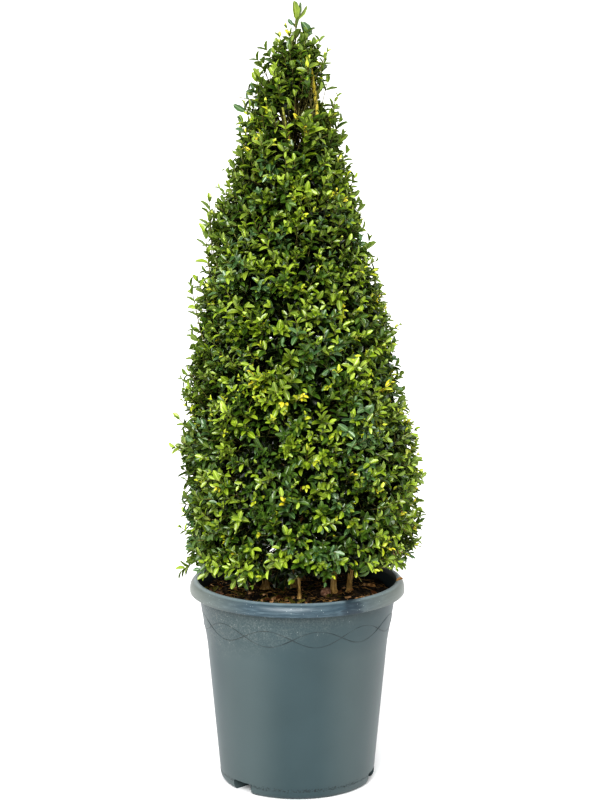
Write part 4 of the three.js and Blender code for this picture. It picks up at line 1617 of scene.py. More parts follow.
@dataclass
class Stem:
    """One stem: its foot on the compost, its tip, its radii and how far its middle bows."""

    node: str
    foot: tuple[float, float]
    foot_radius: float
    tip: tuple[float, float, float]
    bow: tuple[float, float]
    tip_radius: float = 2 * MM
    flare: float = 1.45
    flare_end: float = 7.0
    taper_power: float = 0.8
    level: float = 0.2793
    upright: float = 12 * MM
    bow_shares: tuple[float, float] = (0.3, 0.65)
    upper_bow: float = 0.6
    steps: int = 110
    sides: int = 14
    ridge_depth: float = 0.16
    ridge_scale: tuple[float, float] = (420.0, 60.0)
    knot_depth: float = 0.22
    knot_scale: tuple[float, float] = (90.0, 34.0)
    knot_slice: float = 0.3

    def controls(self) -> np.ndarray:
        """Give the five points that the stem passes through.

        Returns:
            The points, from the foot up.
        """
        start = np.array([*self.foot, self.level])
        end = np.array(self.tip)
        out = np.array([*self.bow, 0.0])
        rise = start + UP * self.upright
        low, high = self.bow_shares
        return np.array([start, rise, start + (end - start) * low + out,
                         start + (end - start) * high + out * self.upper_bow, end])

    def line(self, steps: int) -> np.ndarray:
        """Give points along the stem, on a centripetal Catmull-Rom curve through its controls.

        Args:
            steps: How many points.

        Returns:
            The points, from the foot up.
        """
        points = self.controls()
        padded = np.vstack([2 * points[0] - points[1], points, 2 * points[-1] - points[-2]])
        spans = len(points) - 1
        line = []
        for t in np.linspace(0, spans, steps):
            span = min(int(t), spans - 1)
            line.append(self.between(padded[span : span + 4], t - span))
        return np.array(line)

    @staticmethod
    def between(four: np.ndarray, share: float) -> np.ndarray:
        """Give a point between the middle two of four points of a Catmull-Rom curve.

        Args:
            four: The four points.
            share: How far it is from the second to the third.

        Returns:
            The point.
        """
        gaps = np.sqrt(np.maximum(np.linalg.norm(np.diff(four, axis=0), axis=1), TINY))
        before, width, after = gaps
        left = ((four[1] - four[0]) / before - (four[2] - four[0]) / (before + width)
                + (four[2] - four[1]) / width) * width
        right = ((four[2] - four[1]) / width - (four[3] - four[1]) / (width + after)
                 + (four[3] - four[2]) / after) * width
        rest = four[2] - four[1]
        return (four[1] + left * share + (3 * rest - 2 * left - right) * share**2
                + (left + right - 2 * rest) * share**3)

    def radii_along(self, steps: int) -> np.ndarray:
        """Give the stem's radius at evenly spaced points, with its root flare.

        Args:
            steps: How many points.

        Returns:
            The radii, from the foot up.
        """
        share = np.linspace(0, 1, steps)
        flare = 1 + (self.flare - 1) * np.maximum(0, 1 - share * self.flare_end)
        tapered = share**self.taper_power
        return (self.foot_radius + (self.tip_radius - self.foot_radius) * tapered) * flare

    def build(self, bark: bpy.types.Material) -> None:
        """Model the stem with ridged, knotted bark, and dress it.

        Args:
            bark: The stem's finish.
        """
        centres = self.line(self.steps)
        radii = self.radii_along(self.steps)
        stem = ribbon(self.node + "_bark", centres, radii, self.sides)
        round_scale, along_scale = self.ridge_scale
        stem_scale, knot_scale = self.knot_scale
        for i, vertex in enumerate(stem.data.vertices):
            x, y, z = vertex.co
            centre = Vector(centres[i // self.sides])
            ridges = noise.noise(Vector((x * round_scale, y * round_scale, z * along_scale)))
            knots = noise.noise(Vector((self.knot_slice, self.foot[0] * stem_scale, z * knot_scale)))
            relief = 1 + self.ridge_depth * ridges + self.knot_depth * max(knots, 0)
            vertex.co = centre + (vertex.co - centre) * relief
        dress(stem, bark, (self.node,))


STEMS = (
    Stem("main_stem", (-0.008, 0.012), 9 * MM, (-0.001, 0.0, 1.022), (-0.006, 0.008)),
    Stem("right_stem", (0.052, -0.020), 6 * MM, (0.032, -0.004, 0.940), (0.004, 0.004)),
    Stem("left_stem", (-0.046, 0.004), 6 * MM, (-0.052, -0.004, 0.940), (-0.010, 0.004)),
    Stem("back_stem", (0.006, 0.052), 5.5 * MM, (-0.010, 0.040, 0.940), (0.004, 0.014)),
    Stem("front_stem", (0.003, -0.057), 2.8 * MM, (-0.012, -0.042, 0.940), (-0.004, -0.014)),
    Stem("front_right_stem", (0.075, -0.015), 4.5 * MM, (0.078, -0.052, 0.560), (0.006, -0.004)),
)


@dataclass
class Shoots:
    """Leafy shoots, one row each: where they root and head, how long and leafy they are."""

    root: np.ndarray
    heading: np.ndarray
    length: np.ndarray
    pairs: np.ndarray
    leaf: np.ndarray
    tint: np.ndarray
    tip_tint: np.ndarray

    def joined(self, other: "Shoots") -> "Shoots":
        """Give these shoots and the others together."""
        return Shoots(*(np.concatenate([getattr(self, name), getattr(other, name)])
                        for name in self.__dataclass_fields__))

    def kept(self, keep: np.ndarray) -> "Shoots":
        """Give only the shoots that a mask keeps."""
        return Shoots(*(getattr(self, name)[keep] for name in self.__dataclass_fields__))


TINTS = list(Tint)
YOUNG = [TINTS.index(tint) for tint in YOUNG_TINTS]


@dataclass
class Leaves:
    """Single leaves, gathered to be joined by tint."""

    base: list[np.ndarray] = field(default_factory=list)
    along: list[np.ndarray] = field(default_factory=list)
    upper: list[np.ndarray] = field(default_factory=list)
    length: list[np.ndarray] = field(default_factory=list)
    width: list[np.ndarray] = field(default_factory=list)
    tint: list[np.ndarray] = field(default_factory=list)

    def add(self, **rows: np.ndarray) -> None:
        """Add rows of leaves."""
        for name, values in rows.items():
            getattr(self, name).append(values)

    def gathered(self) -> dict[str, np.ndarray]:
        """Give all the leaves' rows."""
        return {name: np.concatenate(getattr(self, name)) for name in self.__dataclass_fields__}


@dataclass
class Foliage:
    """The crown's boughs, twigs and leaves."""

    cone: ClippedCone = field(default_factory=ClippedCone)
    seed: int = 12
    # each layer's number, heights and scatter in degrees; then, as the least value and how much
    # chance adds to it, its depth inside the surface, its length and its leaves' share of length
    surface_shoots: int = 2850
    surface_levels: tuple[float, float] = (0.320, 1.055)
    surface_scatter: float = 26
    surface_inset: tuple[float, float] = (0.006, 0.030)
    inset_power: float = 1.4
    surface_lengths: tuple[float, float] = (0.034, 0.030)
    surface_leaves: tuple[float, float] = (0.78, 0.42)
    surface_pairs: tuple[int, int] = (4, 8)
    inner_shoots: int = 640
    inner_levels: tuple[float, float] = (0.345, 0.935)
    inner_scatter: float = 45
    inner_inset: tuple[float, float] = (0.038, 0.035)
    inner_lengths: tuple[float, float] = (0.04, 0.02)
    inner_leaves: tuple[float, float] = (0.95, 0.3)
    proud_shoots: int = 34
    proud_levels: tuple[float, float] = (0.33, 1.06)
    proud_scatter: float = 22
    proud_inset: tuple[float, float] = (0.004, -0.014)
    proud_lengths: tuple[float, float] = (0.045, 0.018)
    proud_leaves: tuple[float, float] = (0.75, 0.30)
    tip_shoots: int = 40
    pairs: int = 5
    # the top thins out: heights, the share of shoots left out there, and the share of length left
    open_heights: tuple[float, ...] = (0.86, 0.93, 1.05)
    open_shares: tuple[float, ...] = (0.0, 0.35, 0.60)
    short_heights: tuple[float, float] = (0.9, 1.08)
    short_shares: tuple[float, float] = (1, 0.75)
    rise_heights: tuple[float, ...] = (0.30, 0.36, 0.7, 1.0, 1.1)
    rise_degrees: tuple[float, ...] = (-18, 14, 34, 58, 85)
    level_scatter: float = 2.4
    lump_patch: tuple[float, float] = (3.2, 40.0)
    lump_depth: float = 0.020
    patch_rise: float = 6.5
    twig_radii: tuple[float, float, float] = (0.85 * MM, 0.7 * MM, 0.5 * MM)
    joint_radius: float = 1.15 * MM
    joint_shares: tuple[float, float] = (0.85, 0.7)
    joint_back: float = 0.03
    joint_bow: float = 0.01
    batch: int = 200
    shoot_bend: float = 0.10
    # leaves: their angles in degrees, how they face the light, their sizes by pair, and how many fall
    leaf_angles: tuple[float, float, float] = (30, 15, 22)
    leaf_swing: float = 0.5
    young_pairs: int = 2
    young_spread: float = 0.75
    young_size: float = 0.72
    facing_up: float = 0.7
    facing_out: float = 0.35
    facing_stray: float = 0.9
    leaf_sizes: tuple[float, float] = (0.80, 0.4)
    size_pairs: tuple[float, ...] = (0, 1, 2, 5)
    size_shares: tuple[float, ...] = (0.72, 0.95, 1.0, 0.9)
    leafy_share: float = 0.8
    fallen: float = 0.05
    most_proud: float = 0.008
    shade_blur: float = 0.012
    deep_share: float = 0.6
    rim_reach: float = 0.134
    rim_clear: float = 0.301
    soil_clear: float = 0.286
    leaf_length: float = 15.0 * MM
    leaf_shape: float = 0.48
    most_faces: int = 190_000
    # painted shade: leaves deeper than these get the DEEP and then the SHADE tint
    deep_inside: float = 22 * MM
    shade_inside: float = 34 * MM
    pair_gap: float = 8 * MM
    stem_samples: int = 60
    boughs_per_stem: int = 16
    lowest_fork: float = 0.375
    # boughs: the first one's place on the stem and their span, and how far they rise
    bough_span: tuple[float, float] = (0.17, 0.79)
    bough_rise: tuple[float, float] = (0.05, 0.05)
    bough_top: float = 1.05
    bough_inset: float = 0.05
    bough_sag: float = 0.012
    bough_wander: float = 0.014
    bough_share: float = 0.45
    bough_radii: tuple[float, float] = (1.3 * MM, 0.9 * MM)
    bough_steps: int = 5
    limb_bow: tuple[float, float, float] = (0.002, 0.0, 0.004)
    limb_taper: float = 0.7
    limb_steps: int = 10
    bare_limbs: tuple[tuple[tuple[float, ...], tuple[float, ...], float], ...] = (
        ((0.031, -0.006, 0.932), (0.017, -0.006, 1.034), 3.3 * MM),
        ((-0.012, -0.044, 0.905), (-0.020, -0.046, 0.972), 2.3 * MM),
        ((-0.052, -0.004, 0.932), (-0.046, -0.004, 0.990), 2.2 * MM),
        ((-0.010, 0.040, 0.932), (-0.006, 0.034, 0.990), 2.2 * MM),
    )
    # x, z, half width, half height and furthest front of the places that stay open
    openings: tuple[tuple[float, float, float, float, float], ...] = (
        (-0.042, 1.013, 0.006, 0.008, 1.0), (-0.018, 0.957, 0.011, 0.012, 1.0),
        (0.002, 0.972, 0.012, 0.012, 1.0), (0.000, 0.926, 0.009, 0.016, 1.0),
        (-0.060, 0.985, 0.006, 0.007, 1.0), (0.036, 0.985, 0.008, 0.012, 1.0),
        (0.024, 0.992, 0.009, 0.036, -0.004), (-0.015, 0.950, 0.005, 0.011, -0.046),
    )

    def __post_init__(self) -> None:
        """Start the source of chance."""
        self.rng = np.random.default_rng(self.seed)
        self.twigs = Segments()
        self.boughs = Segments()
        self.limbs = Segments()
        self.side_limbs = Segments()
        self.leaves = Leaves()
        self.bough_points: list[np.ndarray] = []

    # -- boughs --

    def grow_boughs(self) -> None:
        """Grow boughs from each stem, out and up to just inside the clipped surface."""
        turn = 0
        first, span = self.bough_span
        least, thin = self.bough_radii
        for stem in STEMS:
            line = stem.line(self.stem_samples)
            radii = stem.radii_along(self.stem_samples)
            self.bough_points.append(line[line[:, 2] > self.lowest_fork])
            for i in range(self.boughs_per_stem):
                share = first + span * (i + 0.5) / self.boughs_per_stem
                at = int(share * (self.stem_samples - 1))
                start = line[at]
                if start[2] < self.lowest_fork:
                    continue
                azimuth = turn * GOLDEN_ANGLE
                turn += 1
                rise = start[2] + self.bough_rise[0] + self.bough_rise[1] * self.rng.random()
                z = np.array([min(rise, self.bough_top)])
                end = self.cone.surface(np.array([azimuth]), z, np.array([self.bough_inset]))[0]
                wander = (self.rng.random(3) - 0.5) * self.bough_wander
                middle = (start + end) / 2 - UP * self.bough_sag + wander
                thick = max(radii[at] * self.bough_share, least)
                self.add_curve(self.boughs, start, middle, end, thick, thin, self.bough_steps)

    def lead_limbs(self) -> None:
        """Carry the side stems on past their tips, as the bare limbs that show near the top."""
        for number, (start, end, thick) in enumerate(self.bare_limbs):
            middle = (np.array(start) + np.array(end)) / 2 + np.array(self.limb_bow)
            limbs = self.side_limbs if number else self.limbs
            self.add_curve(limbs, np.array(start), middle, np.array(end), thick,
                           thick * self.limb_taper, self.limb_steps)

    def add_curve(self, segments: Segments, start: np.ndarray, middle: np.ndarray, end: np.ndarray,
                  thick: float, thin: float, steps: int) -> None:
        """Add one curved limb in short lengths, and remember its points as places to grow from.

        Args:
            segments: The pieces that it joins.
            start: Where it begins.
            middle: The point that its curve is drawn towards.
            end: Where it ends.
            thick: Its radius at the start.
            thin: Its radius at the end.
            steps: How many lengths.
        """
        share = np.linspace(0, 1, steps + 1)[:, None]
        line = start * (1 - share) ** 2 + 2 * middle * share * (1 - share) + end * share**2
        radius = thick + (thin - thick) * share[:, 0]
        segments.add(line[:-1], line[1:], radius[:-1], radius[1:])
        self.bough_points.append(line[1:][line[1:, 2] > self.lowest_fork])

    # -- shoots --

    def headings(self, azimuth: np.ndarray, z: np.ndarray, scatter: float) -> np.ndarray:
        """Give shoots' headings: outwards low on the cone, and steeper with height.

        Args:
            azimuth: Angles round the axis.
            z: Heights.
            scatter: How far they stray, in degrees.

        Returns:
            The headings, one row each.
        """
        count = len(z)
        rise = np.radians(np.interp(z, self.rise_heights, self.rise_degrees))
        rise = rise + np.radians(scatter) * (self.rng.random(count) - 0.5) * 2
        stray = (self.rng.random(count) - 0.5) * self.level_scatter
        level = radial(azimuth + np.radians(scatter) * stray)
        return unit(level * np.cos(rise)[:, None] + UP * np.sin(rise)[:, None])

    def patch(self, azimuth: np.ndarray, z: np.ndarray, scale: float, salt: float) -> np.ndarray:
        """Give a smooth field over the cone that gathers like colours into patches.

        Args:
            azimuth: Angles round the axis.
            z: Heights.
            scale: How fine the patches are.
            salt: Where in the noise the field is taken.

        Returns:
            The field, about -1 to 1.
        """
        places = zip(np.sin(azimuth) * scale, np.cos(azimuth) * scale,
                     z * self.patch_rise * scale + salt)
        return np.array([noise.noise(Vector(place)) for place in places])

    def dealt_tints(self, azimuth: np.ndarray, z: np.ndarray) -> tuple[np.ndarray, np.ndarray]:
        """Deal each surface shoot a tint for its older leaves and one for its tip.

        Args:
            azimuth: Angles round the axis.
            z: Heights.

        Returns:
            The two tints of each shoot.
        """
        count = len(z)
        chance = self.rng.random(count)
        youth = 0.55 * self.patch(azimuth, z, 3.4, 4.0) + 0.5 * self.patch(azimuth, z, 9.0, 9.0)
        youth = youth + 0.10 * np.sin(azimuth) + 0.10 * (z - 0.6)
        age = self.patch(azimuth, z, 2.2, 19.0) - 0.35 * (z - 0.55)
        tint = np.full(count, TINTS.index(Tint.MATURE))
        tint[chance < np.interp(z, [0.60, 0.90], [0.30, 0.12])] = TINTS.index(Tint.DEEP)
        tint[(chance > 0.62) & (age > 0.0)] = TINTS.index(Tint.OLD_AND_SHEEN)
        tint[(chance > 0.68) & (age <= 0.0)] = TINTS.index(Tint.FRESH)
        dry = chance > 0.997 - 0.014 * (z < 0.42)
        tip = tint.copy()
        lively = self.rng.random(count) + youth * 0.9
        tip[lively > 0.64] = TINTS.index(Tint.FRESH)
        tip[lively > 0.90] = TINTS.index(Tint.LIME)
        tip[lively > 1.12] = TINTS.index(Tint.YELLOW)
        tint[lively > 1.20] = TINTS.index(Tint.LIME)
        tint[dry] = TINTS.index(Tint.DRY)
        tip[dry] = TINTS.index(Tint.DRY)
        return tint, tip

    def seats(self, count: int, low: float, high: float) -> tuple[np.ndarray, np.ndarray]:
        """Deal seats round the cone by the golden angle, evenly over its area.

        Args:
            count: How many seats.
            low: The lowest height.
            high: The highest height.

        Returns:
            Their angles and heights.
        """
        levels = np.linspace(low, high, 400)
        area = np.cumsum(self.cone.girth(np.zeros(400), levels) + 0.012)
        share = (np.arange(count) + 0.5) / count
        z = np.interp(share, area / area[-1], levels)
        z = z + (self.rng.random(count) - 0.5) * 0.02
        azimuth = np.arange(count) * GOLDEN_ANGLE + (self.rng.random(count) - 0.5) * 0.3
        return azimuth % TURN, z

    def surface_layer(self) -> Shoots:
        """Grow the shoots that end at the clipped surface.

        Returns:
            The shoots.
        """
        azimuth, z = self.seats(self.surface_shoots, *self.surface_levels)
        count = len(z)
        open_top = np.interp(z, self.open_heights, self.open_shares)
        keep = self.rng.random(count) > open_top
        azimuth, z, count = azimuth[keep], z[keep], keep.sum()
        lumps = self.patch(azimuth, z, *self.lump_patch) * self.lump_depth
        least, more = self.surface_inset
        inset = least + more * self.rng.random(count) ** self.inset_power - lumps
        end = self.cone.surface(azimuth, z, inset)
        heading = self.headings(azimuth, z, self.surface_scatter)
        length = drawn(self.rng, self.surface_lengths, count)
        length = length * np.interp(z, self.short_heights, self.short_shares)
        tint, tip = self.dealt_tints(azimuth, z)
        leaf = self.leaf_length * drawn(self.rng, self.surface_leaves, count)
        dry = tint == TINTS.index(Tint.DRY)
        most = np.clip((length / self.pair_gap).astype(int), *self.surface_pairs)
        pairs = np.where(dry, 2, most)
        return Shoots(end - heading * length[:, None], heading, length, pairs,
                      np.where(dry, leaf * 0.8, leaf), tint, tip)

    def inner_layer(self) -> Shoots:
        """Grow the shoots that fill the crown behind the surface, most of them in the painted shade tint.

        Returns:
            The shoots.
        """
        azimuth, z = self.seats(self.inner_shoots, *self.inner_levels)
        count = len(z)
        inset = drawn(self.rng, self.inner_inset, count)
        end = self.cone.surface(azimuth, z, inset)
        heading = self.headings(azimuth, z, self.inner_scatter)
        length = drawn(self.rng, self.inner_lengths, count)
        # the inner shoots are mostly painted shade
        tint = self.picked(count, {Tint.SHADE: 0.7, Tint.DEEP: 0.2, Tint.OLD_AND_SHEEN: 0.1})
        leaf = self.leaf_length * drawn(self.rng, self.inner_leaves, count)
        return Shoots(end - heading * length[:, None], heading, length, np.full(count, self.pairs), leaf,
                      tint, tint.copy())

    def proud_layer(self) -> Shoots:
        """Grow the fresh shoots that have outgrown the last clipping.

        Returns:
            The shoots.
        """
        azimuth, z = self.seats(self.proud_shoots, *self.proud_levels)
        count = len(z)
        inset = drawn(self.rng, self.proud_inset, count)
        end = self.cone.surface(azimuth, z, inset)
        heading = self.headings(azimuth, z, self.proud_scatter)
        length = drawn(self.rng, self.proud_lengths, count)
        fresh = self.rng.random(count)
        tint = np.where(fresh < 0.7, TINTS.index(Tint.MATURE), TINTS.index(Tint.FRESH))
        tip = np.where(fresh < 0.6, TINTS.index(Tint.FRESH), TINTS.index(Tint.LIME))
        leaf = self.leaf_length * drawn(self.rng, self.proud_leaves, count)
        return Shoots(end - heading * length[:, None], heading, length, np.full(count, self.pairs), leaf,
                      tint, tip)

    def leader_layer(self) -> Shoots:
        """Grow the upright shoots of the loose tip, the tallest from the main stem's end.

        Returns:
            The shoots.
        """
        count = self.tip_shoots
        share = (np.arange(count) + 0.5) / count
        z = np.interp(share, [0, 0.5, 1], [0.945, 1.005, 1.062])
        azimuth = np.arange(count) * GOLDEN_ANGLE + 0.4
        reach = self.cone.girth(azimuth, z) * (0.55 + 0.30 * self.rng.random(count))
        tips = self.cone.axis(z) + radial(azimuth) * reach[:, None]
        heading = unit(radial(azimuth) * 0.32 + UP)
        length = 0.070 + 0.030 * self.rng.random(count)
        tint = self.picked(count, {Tint.MATURE: 0.45, Tint.DEEP: 0.2, Tint.FRESH: 0.25, Tint.LIME: 0.1})
        leaf = self.leaf_length * (1.05 + 0.3 * self.rng.random(count))
        crown = Shoots(tips - heading * length[:, None], heading, length,
                       np.full(count, 7), leaf, tint, tint.copy())
        return crown.joined(self.named_shoots())

    def named_shoots(self) -> Shoots:
        """Grow the shoots that give the tip its outline, each with its own place.

        Returns:
            The shoots.
        """
        rows = (
            # tip x, y, z; lean x, y; length; pairs; leaf; tint
            (-0.002, -0.002, 1.091, 0.02, 0.00, 0.060, 0, 0.020, Tint.MATURE),
            (-0.001, 0.002, 1.078, 0.05, 0.02, 0.070, 4, 0.023, Tint.MATURE),
            (0.010, -0.006, 1.070, 0.22, -0.05, 0.060, 4, 0.024, Tint.DEEP),
            (-0.014, -0.004, 1.078, -0.35, 0.0, 0.060, 4, 0.018, Tint.YELLOW),
            (-0.008, -0.010, 1.070, -0.20, -0.2, 0.060, 5, 0.020, Tint.LIME),
            (-0.024, -0.004, 1.066, -0.18, 0.0, 0.090, 6, 0.019, Tint.LIME),
            (0.012, -0.008, 1.064, 0.10, -0.05, 0.095, 7, 0.021, Tint.MATURE),
            (0.026, 0.006, 1.046, 0.16, 0.05, 0.090, 7, 0.019, Tint.MATURE),
            (0.041, -0.002, 1.045, 0.45, 0.0, 0.060, 5, 0.015, Tint.LIME),
            (0.031, 0.000, 1.060, 0.30, 0.0, 0.060, 5, 0.016, Tint.FRESH),
            (-0.042, -0.002, 1.048, -0.50, 0.0, 0.060, 5, 0.019, Tint.DEEP),
            (-0.054, 0.000, 1.034, -0.55, 0.0, 0.060, 5, 0.018, Tint.MATURE),
            (-0.046, 0.006, 1.030, -0.25, 0.1, 0.070, 6, 0.019, Tint.DEEP),
            (-0.052, -0.014, 1.012, -0.30, -0.1, 0.070, 6, 0.018, Tint.MATURE),
            (0.036, 0.004, 1.030, 0.20, 0.0, 0.070, 6, 0.018, Tint.DEEP),
            (-0.030, 0.012, 1.042, -0.20, 0.1, 0.095, 7, 0.019, Tint.FRESH),
            (-0.008, 0.020, 1.056, -0.05, 0.2, 0.100, 7, 0.020, Tint.DEEP),
            (-0.010, -0.024, 1.048, -0.05, -0.2, 0.100, 7, 0.020, Tint.DEEP),
            (-0.057, -0.006, 1.016, -0.14, 0.0, 0.085, 6, 0.017, Tint.FRESH),
            (0.042, 0.004, 1.004, 0.25, 0.0, 0.085, 6, 0.018, Tint.FRESH),
            (-0.072, -0.012, 0.972, -0.30, 0.0, 0.080, 5, 0.018, Tint.LIME),
            (0.052, -0.012, 0.968, 0.24, 0.0, 0.080, 6, 0.018, Tint.LIME),
            (0.010, -0.064, 0.964, 0.00, -0.2, 0.100, 10, 0.026, Tint.FRESH),
            (0.018, -0.062, 0.950, 0.20, -0.2, 0.090, 9, 0.023, Tint.FRESH),
            (-0.122, -0.020, 0.840, -0.04, 0.0, 0.075, 5, 0.019, Tint.FRESH),
            (-0.124, 0.010, 0.820, -0.12, 0.1, 0.070, 5, 0.018, Tint.MATURE),
            (-0.128, -0.035, 0.800, -0.10, -0.1, 0.070, 5, 0.018, Tint.FRESH),
            (0.100, -0.025, 0.785, 0.25, 0.0, 0.070, 5, 0.018, Tint.MATURE),
            (-0.076, -0.010, 0.945, -0.35, 0.0, 0.070, 5, 0.021, Tint.OLD_AND_SHEEN),
            (0.062, -0.006, 0.930, 0.45, 0.0, 0.070, 5, 0.019, Tint.MATURE),
            (0.068, 0.004, 0.905, 0.45, 0.1, 0.070, 5, 0.019, Tint.FRESH),
            (-0.078, 0.006, 0.928, -0.30, 0.1, 0.070, 5, 0.018, Tint.MATURE),
            (-0.083, -0.012, 0.905, -0.30, 0.0, 0.070, 5, 0.018, Tint.FRESH),
            (0.058, -0.020, 0.950, 0.40, -0.1, 0.070, 5, 0.019, Tint.DEEP),
            (-0.148, -0.030, 0.722, -0.20, 0.0, 0.065, 5, 0.018, Tint.FRESH),
            (-0.160, -0.035, 0.560, -0.70, 0.0, 0.060, 5, 0.017, Tint.LIME),
            (-0.166, -0.030, 0.532, -1.00, 0.0, 0.055, 4, 0.017, Tint.FRESH),
            (0.166, -0.040, 0.500, 0.60, 0.0, 0.065, 5, 0.018, Tint.LIME),
            (-0.052, -0.142, 0.606, -0.2, -1.2, 0.060, 6, 0.016, Tint.LIME),
            (-0.062, -0.138, 0.616, -0.6, -1.0, 0.060, 5, 0.014, Tint.YELLOW),
            (-0.042, -0.144, 0.616, 0.5, -1.0, 0.060, 5, 0.014, Tint.LIME),
        )
        tips = np.array([row[:3] for row in rows])
        heading = unit(np.array([(row[3], row[4], 1.0) for row in rows]))
        length = np.array([row[5] for row in rows])
        tint = np.array([TINTS.index(row[8]) for row in rows])
        return Shoots(tips - heading * length[:, None], heading, length,
                      np.array([row[6] for row in rows]), np.array([row[7] for row in rows]),
                      tint, tint.copy())

    def picked(self, count: int, shares: dict[Tint, float]) -> np.ndarray:
        """Deal tints by chance, given the share of each."""
        return self.rng.choice([TINTS.index(tint) for tint in shares], count, p=list(shares.values()))

    def basal_layer(self) -> Shoots:
        """Grow the low tufts that hang from the skirt towards the compost.

        Returns:
            The shoots.
        """
        rows = (
            # azimuth in degrees, reach, lowest height, tint
            (-38, 0.140, 0.314, Tint.MATURE), (-34, 0.132, 0.310, Tint.MATURE),
            (-15, 0.118, 0.314, Tint.MATURE), (-10, 0.104, 0.304, Tint.MATURE),
            (-20, 0.118, 0.320, Tint.MATURE), (-58, 0.152, 0.314, Tint.MATURE),
            (70, 0.150, 0.322, Tint.MATURE), (82, 0.155, 0.330, Tint.LIME),
            (-80, 0.168, 0.306, Tint.FRESH),
            (110, 0.150, 0.308, Tint.MATURE), (150, 0.145, 0.306, Tint.FRESH),
            (190, 0.150, 0.304, Tint.MATURE), (225, 0.155, 0.305, Tint.OLD_AND_SHEEN),
            (250, 0.150, 0.309, Tint.FRESH),
        )
        azimuth = np.radians([row[0] for row in rows])
        count = len(rows)
        lowest = np.array([row[2] for row in rows]) + 0.006
        reach = np.array([row[1] for row in rows])
        end = radial(azimuth) * reach[:, None] + lowest[:, None] * UP
        heading = unit(radial(azimuth) * 0.75 - UP * 0.55)
        length = 0.042 + 0.014 * self.rng.random(count)
        tint = np.array([TINTS.index(row[3]) for row in rows])
        leaf = self.leaf_length * (1.05 + 0.25 * self.rng.random(count))
        return Shoots(end - heading * length[:, None], heading, length, np.full(count, self.pairs), leaf,
                      tint, tint.copy())

    def above_hem(self, shoots: Shoots) -> Shoots:
        """Give only the shoots that stand wholly above the hem.

        Args:
            shoots: The shoots.

        Returns:
            Those that stand above it.
        """
        tips = shoots.root + shoots.heading * shoots.length[:, None]
        clear = (tips[:, 2] > self.cone.hem(tips)) & (shoots.root[:, 2] > self.cone.hem(shoots.root))
        return shoots.kept(clear)

    def side_shoots(self, shoots: Shoots, share: float, spread: float) -> Shoots:
        """Branch shorter shoots from the lower part of some shoots.

        Args:
            shoots: The shoots that branch.
            share: The share of them that do.
            spread: The angle of branching in degrees.

        Returns:
            The side shoots alone.
        """
        chosen = shoots.kept(self.rng.random(len(shoots.length)) < share)
        count = len(chosen.length)
        side = unit(np.cross(chosen.heading, NEAR_UP))
        side = turned(side, chosen.heading, self.rng.random(count) * TURN)
        angle = np.radians(spread) * (0.75 + 0.5 * self.rng.random(count))
        heading = unit(chosen.heading * np.cos(angle)[:, None] + side * np.sin(angle)[:, None])
        at = 0.2 + 0.35 * self.rng.random((count, 1))
        root = chosen.root + chosen.heading * chosen.length[:, None] * at
        length = chosen.length * (0.5 + 0.25 * self.rng.random(count))
        pairs = np.clip((length / self.pair_gap).astype(int), 2, 5)
        return Shoots(root, heading, length, pairs, chosen.leaf * 0.92, chosen.tint, chosen.tip_tint)

    def join_to_boughs(self, shoots: Shoots) -> None:
        """Run a thin curved twig from the nearest bough or stem to each shoot's root.

        Args:
            shoots: The shoots that are joined on.
        """
        points = np.concatenate(self.bough_points)
        near, far = self.joint_shares
        for begin in range(0, len(shoots.root), self.batch):
            roots = shoots.root[begin : begin + self.batch]
            headings = shoots.heading[begin : begin + self.batch]
            behind = roots - headings * self.joint_back
            distance = np.linalg.norm(points[None] - behind[:, None], axis=2)
            start = points[distance.argmin(1)]
            middle = (start + roots) / 2 - headings * self.joint_bow
            thick = np.full(len(roots), self.joint_radius)
            self.twigs.add(start, middle, thick, thick * near)
            self.twigs.add(middle, roots, thick * near, thick * far)

    # -- leaves --

    def leaf_out(self, shoots: Shoots, strict: bool = True, hanging: bool = False) -> None:
        """Set opposite pairs of leaves along shoots, each pair turned a quarter from the last.

        Args:
            shoots: The shoots that bear them.
            strict: Whether leaves that stand far out of the clipped surface are dropped.
            hanging: Whether leaves may hang below the skirt's hem.
        """
        count = len(shoots.length)
        bend = self.shoot_bend * shoots.length * (1 - np.abs(shoots.heading[:, 2]))
        tip = shoots.root + shoots.heading * shoots.length[:, None] + UP * bend[:, None]
        half = shoots.root + shoots.heading * shoots.length[:, None] * 0.5 + UP * bend[:, None] * 0.25
        thick, middling, thin = (np.full(count, radius) for radius in self.twig_radii)
        self.twigs.add(shoots.root, half, thick, middling)
        self.twigs.add(half, tip, middling, thin)
        side = unit(np.cross(shoots.heading, NEAR_UP))
        side = turned(side, shoots.heading, self.rng.random(count) * TURN)
        for pair in range(int(shoots.pairs.max())):
            bears = shoots.pairs > pair
            rows = shoots.kept(bears)
            number = len(rows.length)
            at = 1 - pair * self.leafy_share / rows.pairs
            base = (rows.root + rows.heading * (rows.length * at)[:, None]
                    + UP * (bend[bears] * at**2)[:, None])
            for half_turn in (0, math.pi):
                swing = (self.rng.random(number) - 0.5) * self.leaf_swing
                out = turned(side[bears], rows.heading, pair * math.pi / 2 + half_turn + swing)
                young = np.isin(rows.tip_tint, YOUNG) & (pair < self.young_pairs)
                first, wider, stray = self.leaf_angles
                wider = wider * min(pair, self.young_pairs)
                spread = np.radians(first + wider + stray * (self.rng.random(number) - 0.5) * 2)
                spread = np.where(young, spread * self.young_spread, spread)
                along = unit(rows.heading * np.cos(spread)[:, None] + out * np.sin(spread)[:, None])
                outwards = radial(np.arctan2(base[:, 0], -base[:, 1]))
                light = rows.heading + self.facing_up * UP + self.facing_out * outwards
                light = light + (self.rng.random((number, 3)) - 0.5) * self.facing_stray
                upper = unit(light - along * np.sum(light * along, 1, keepdims=True))
                size = rows.leaf * np.interp(pair, self.size_pairs, self.size_shares)
                size = size * drawn(self.rng, self.leaf_sizes, number)
                size = size * np.where(young, self.young_size, 1.0)
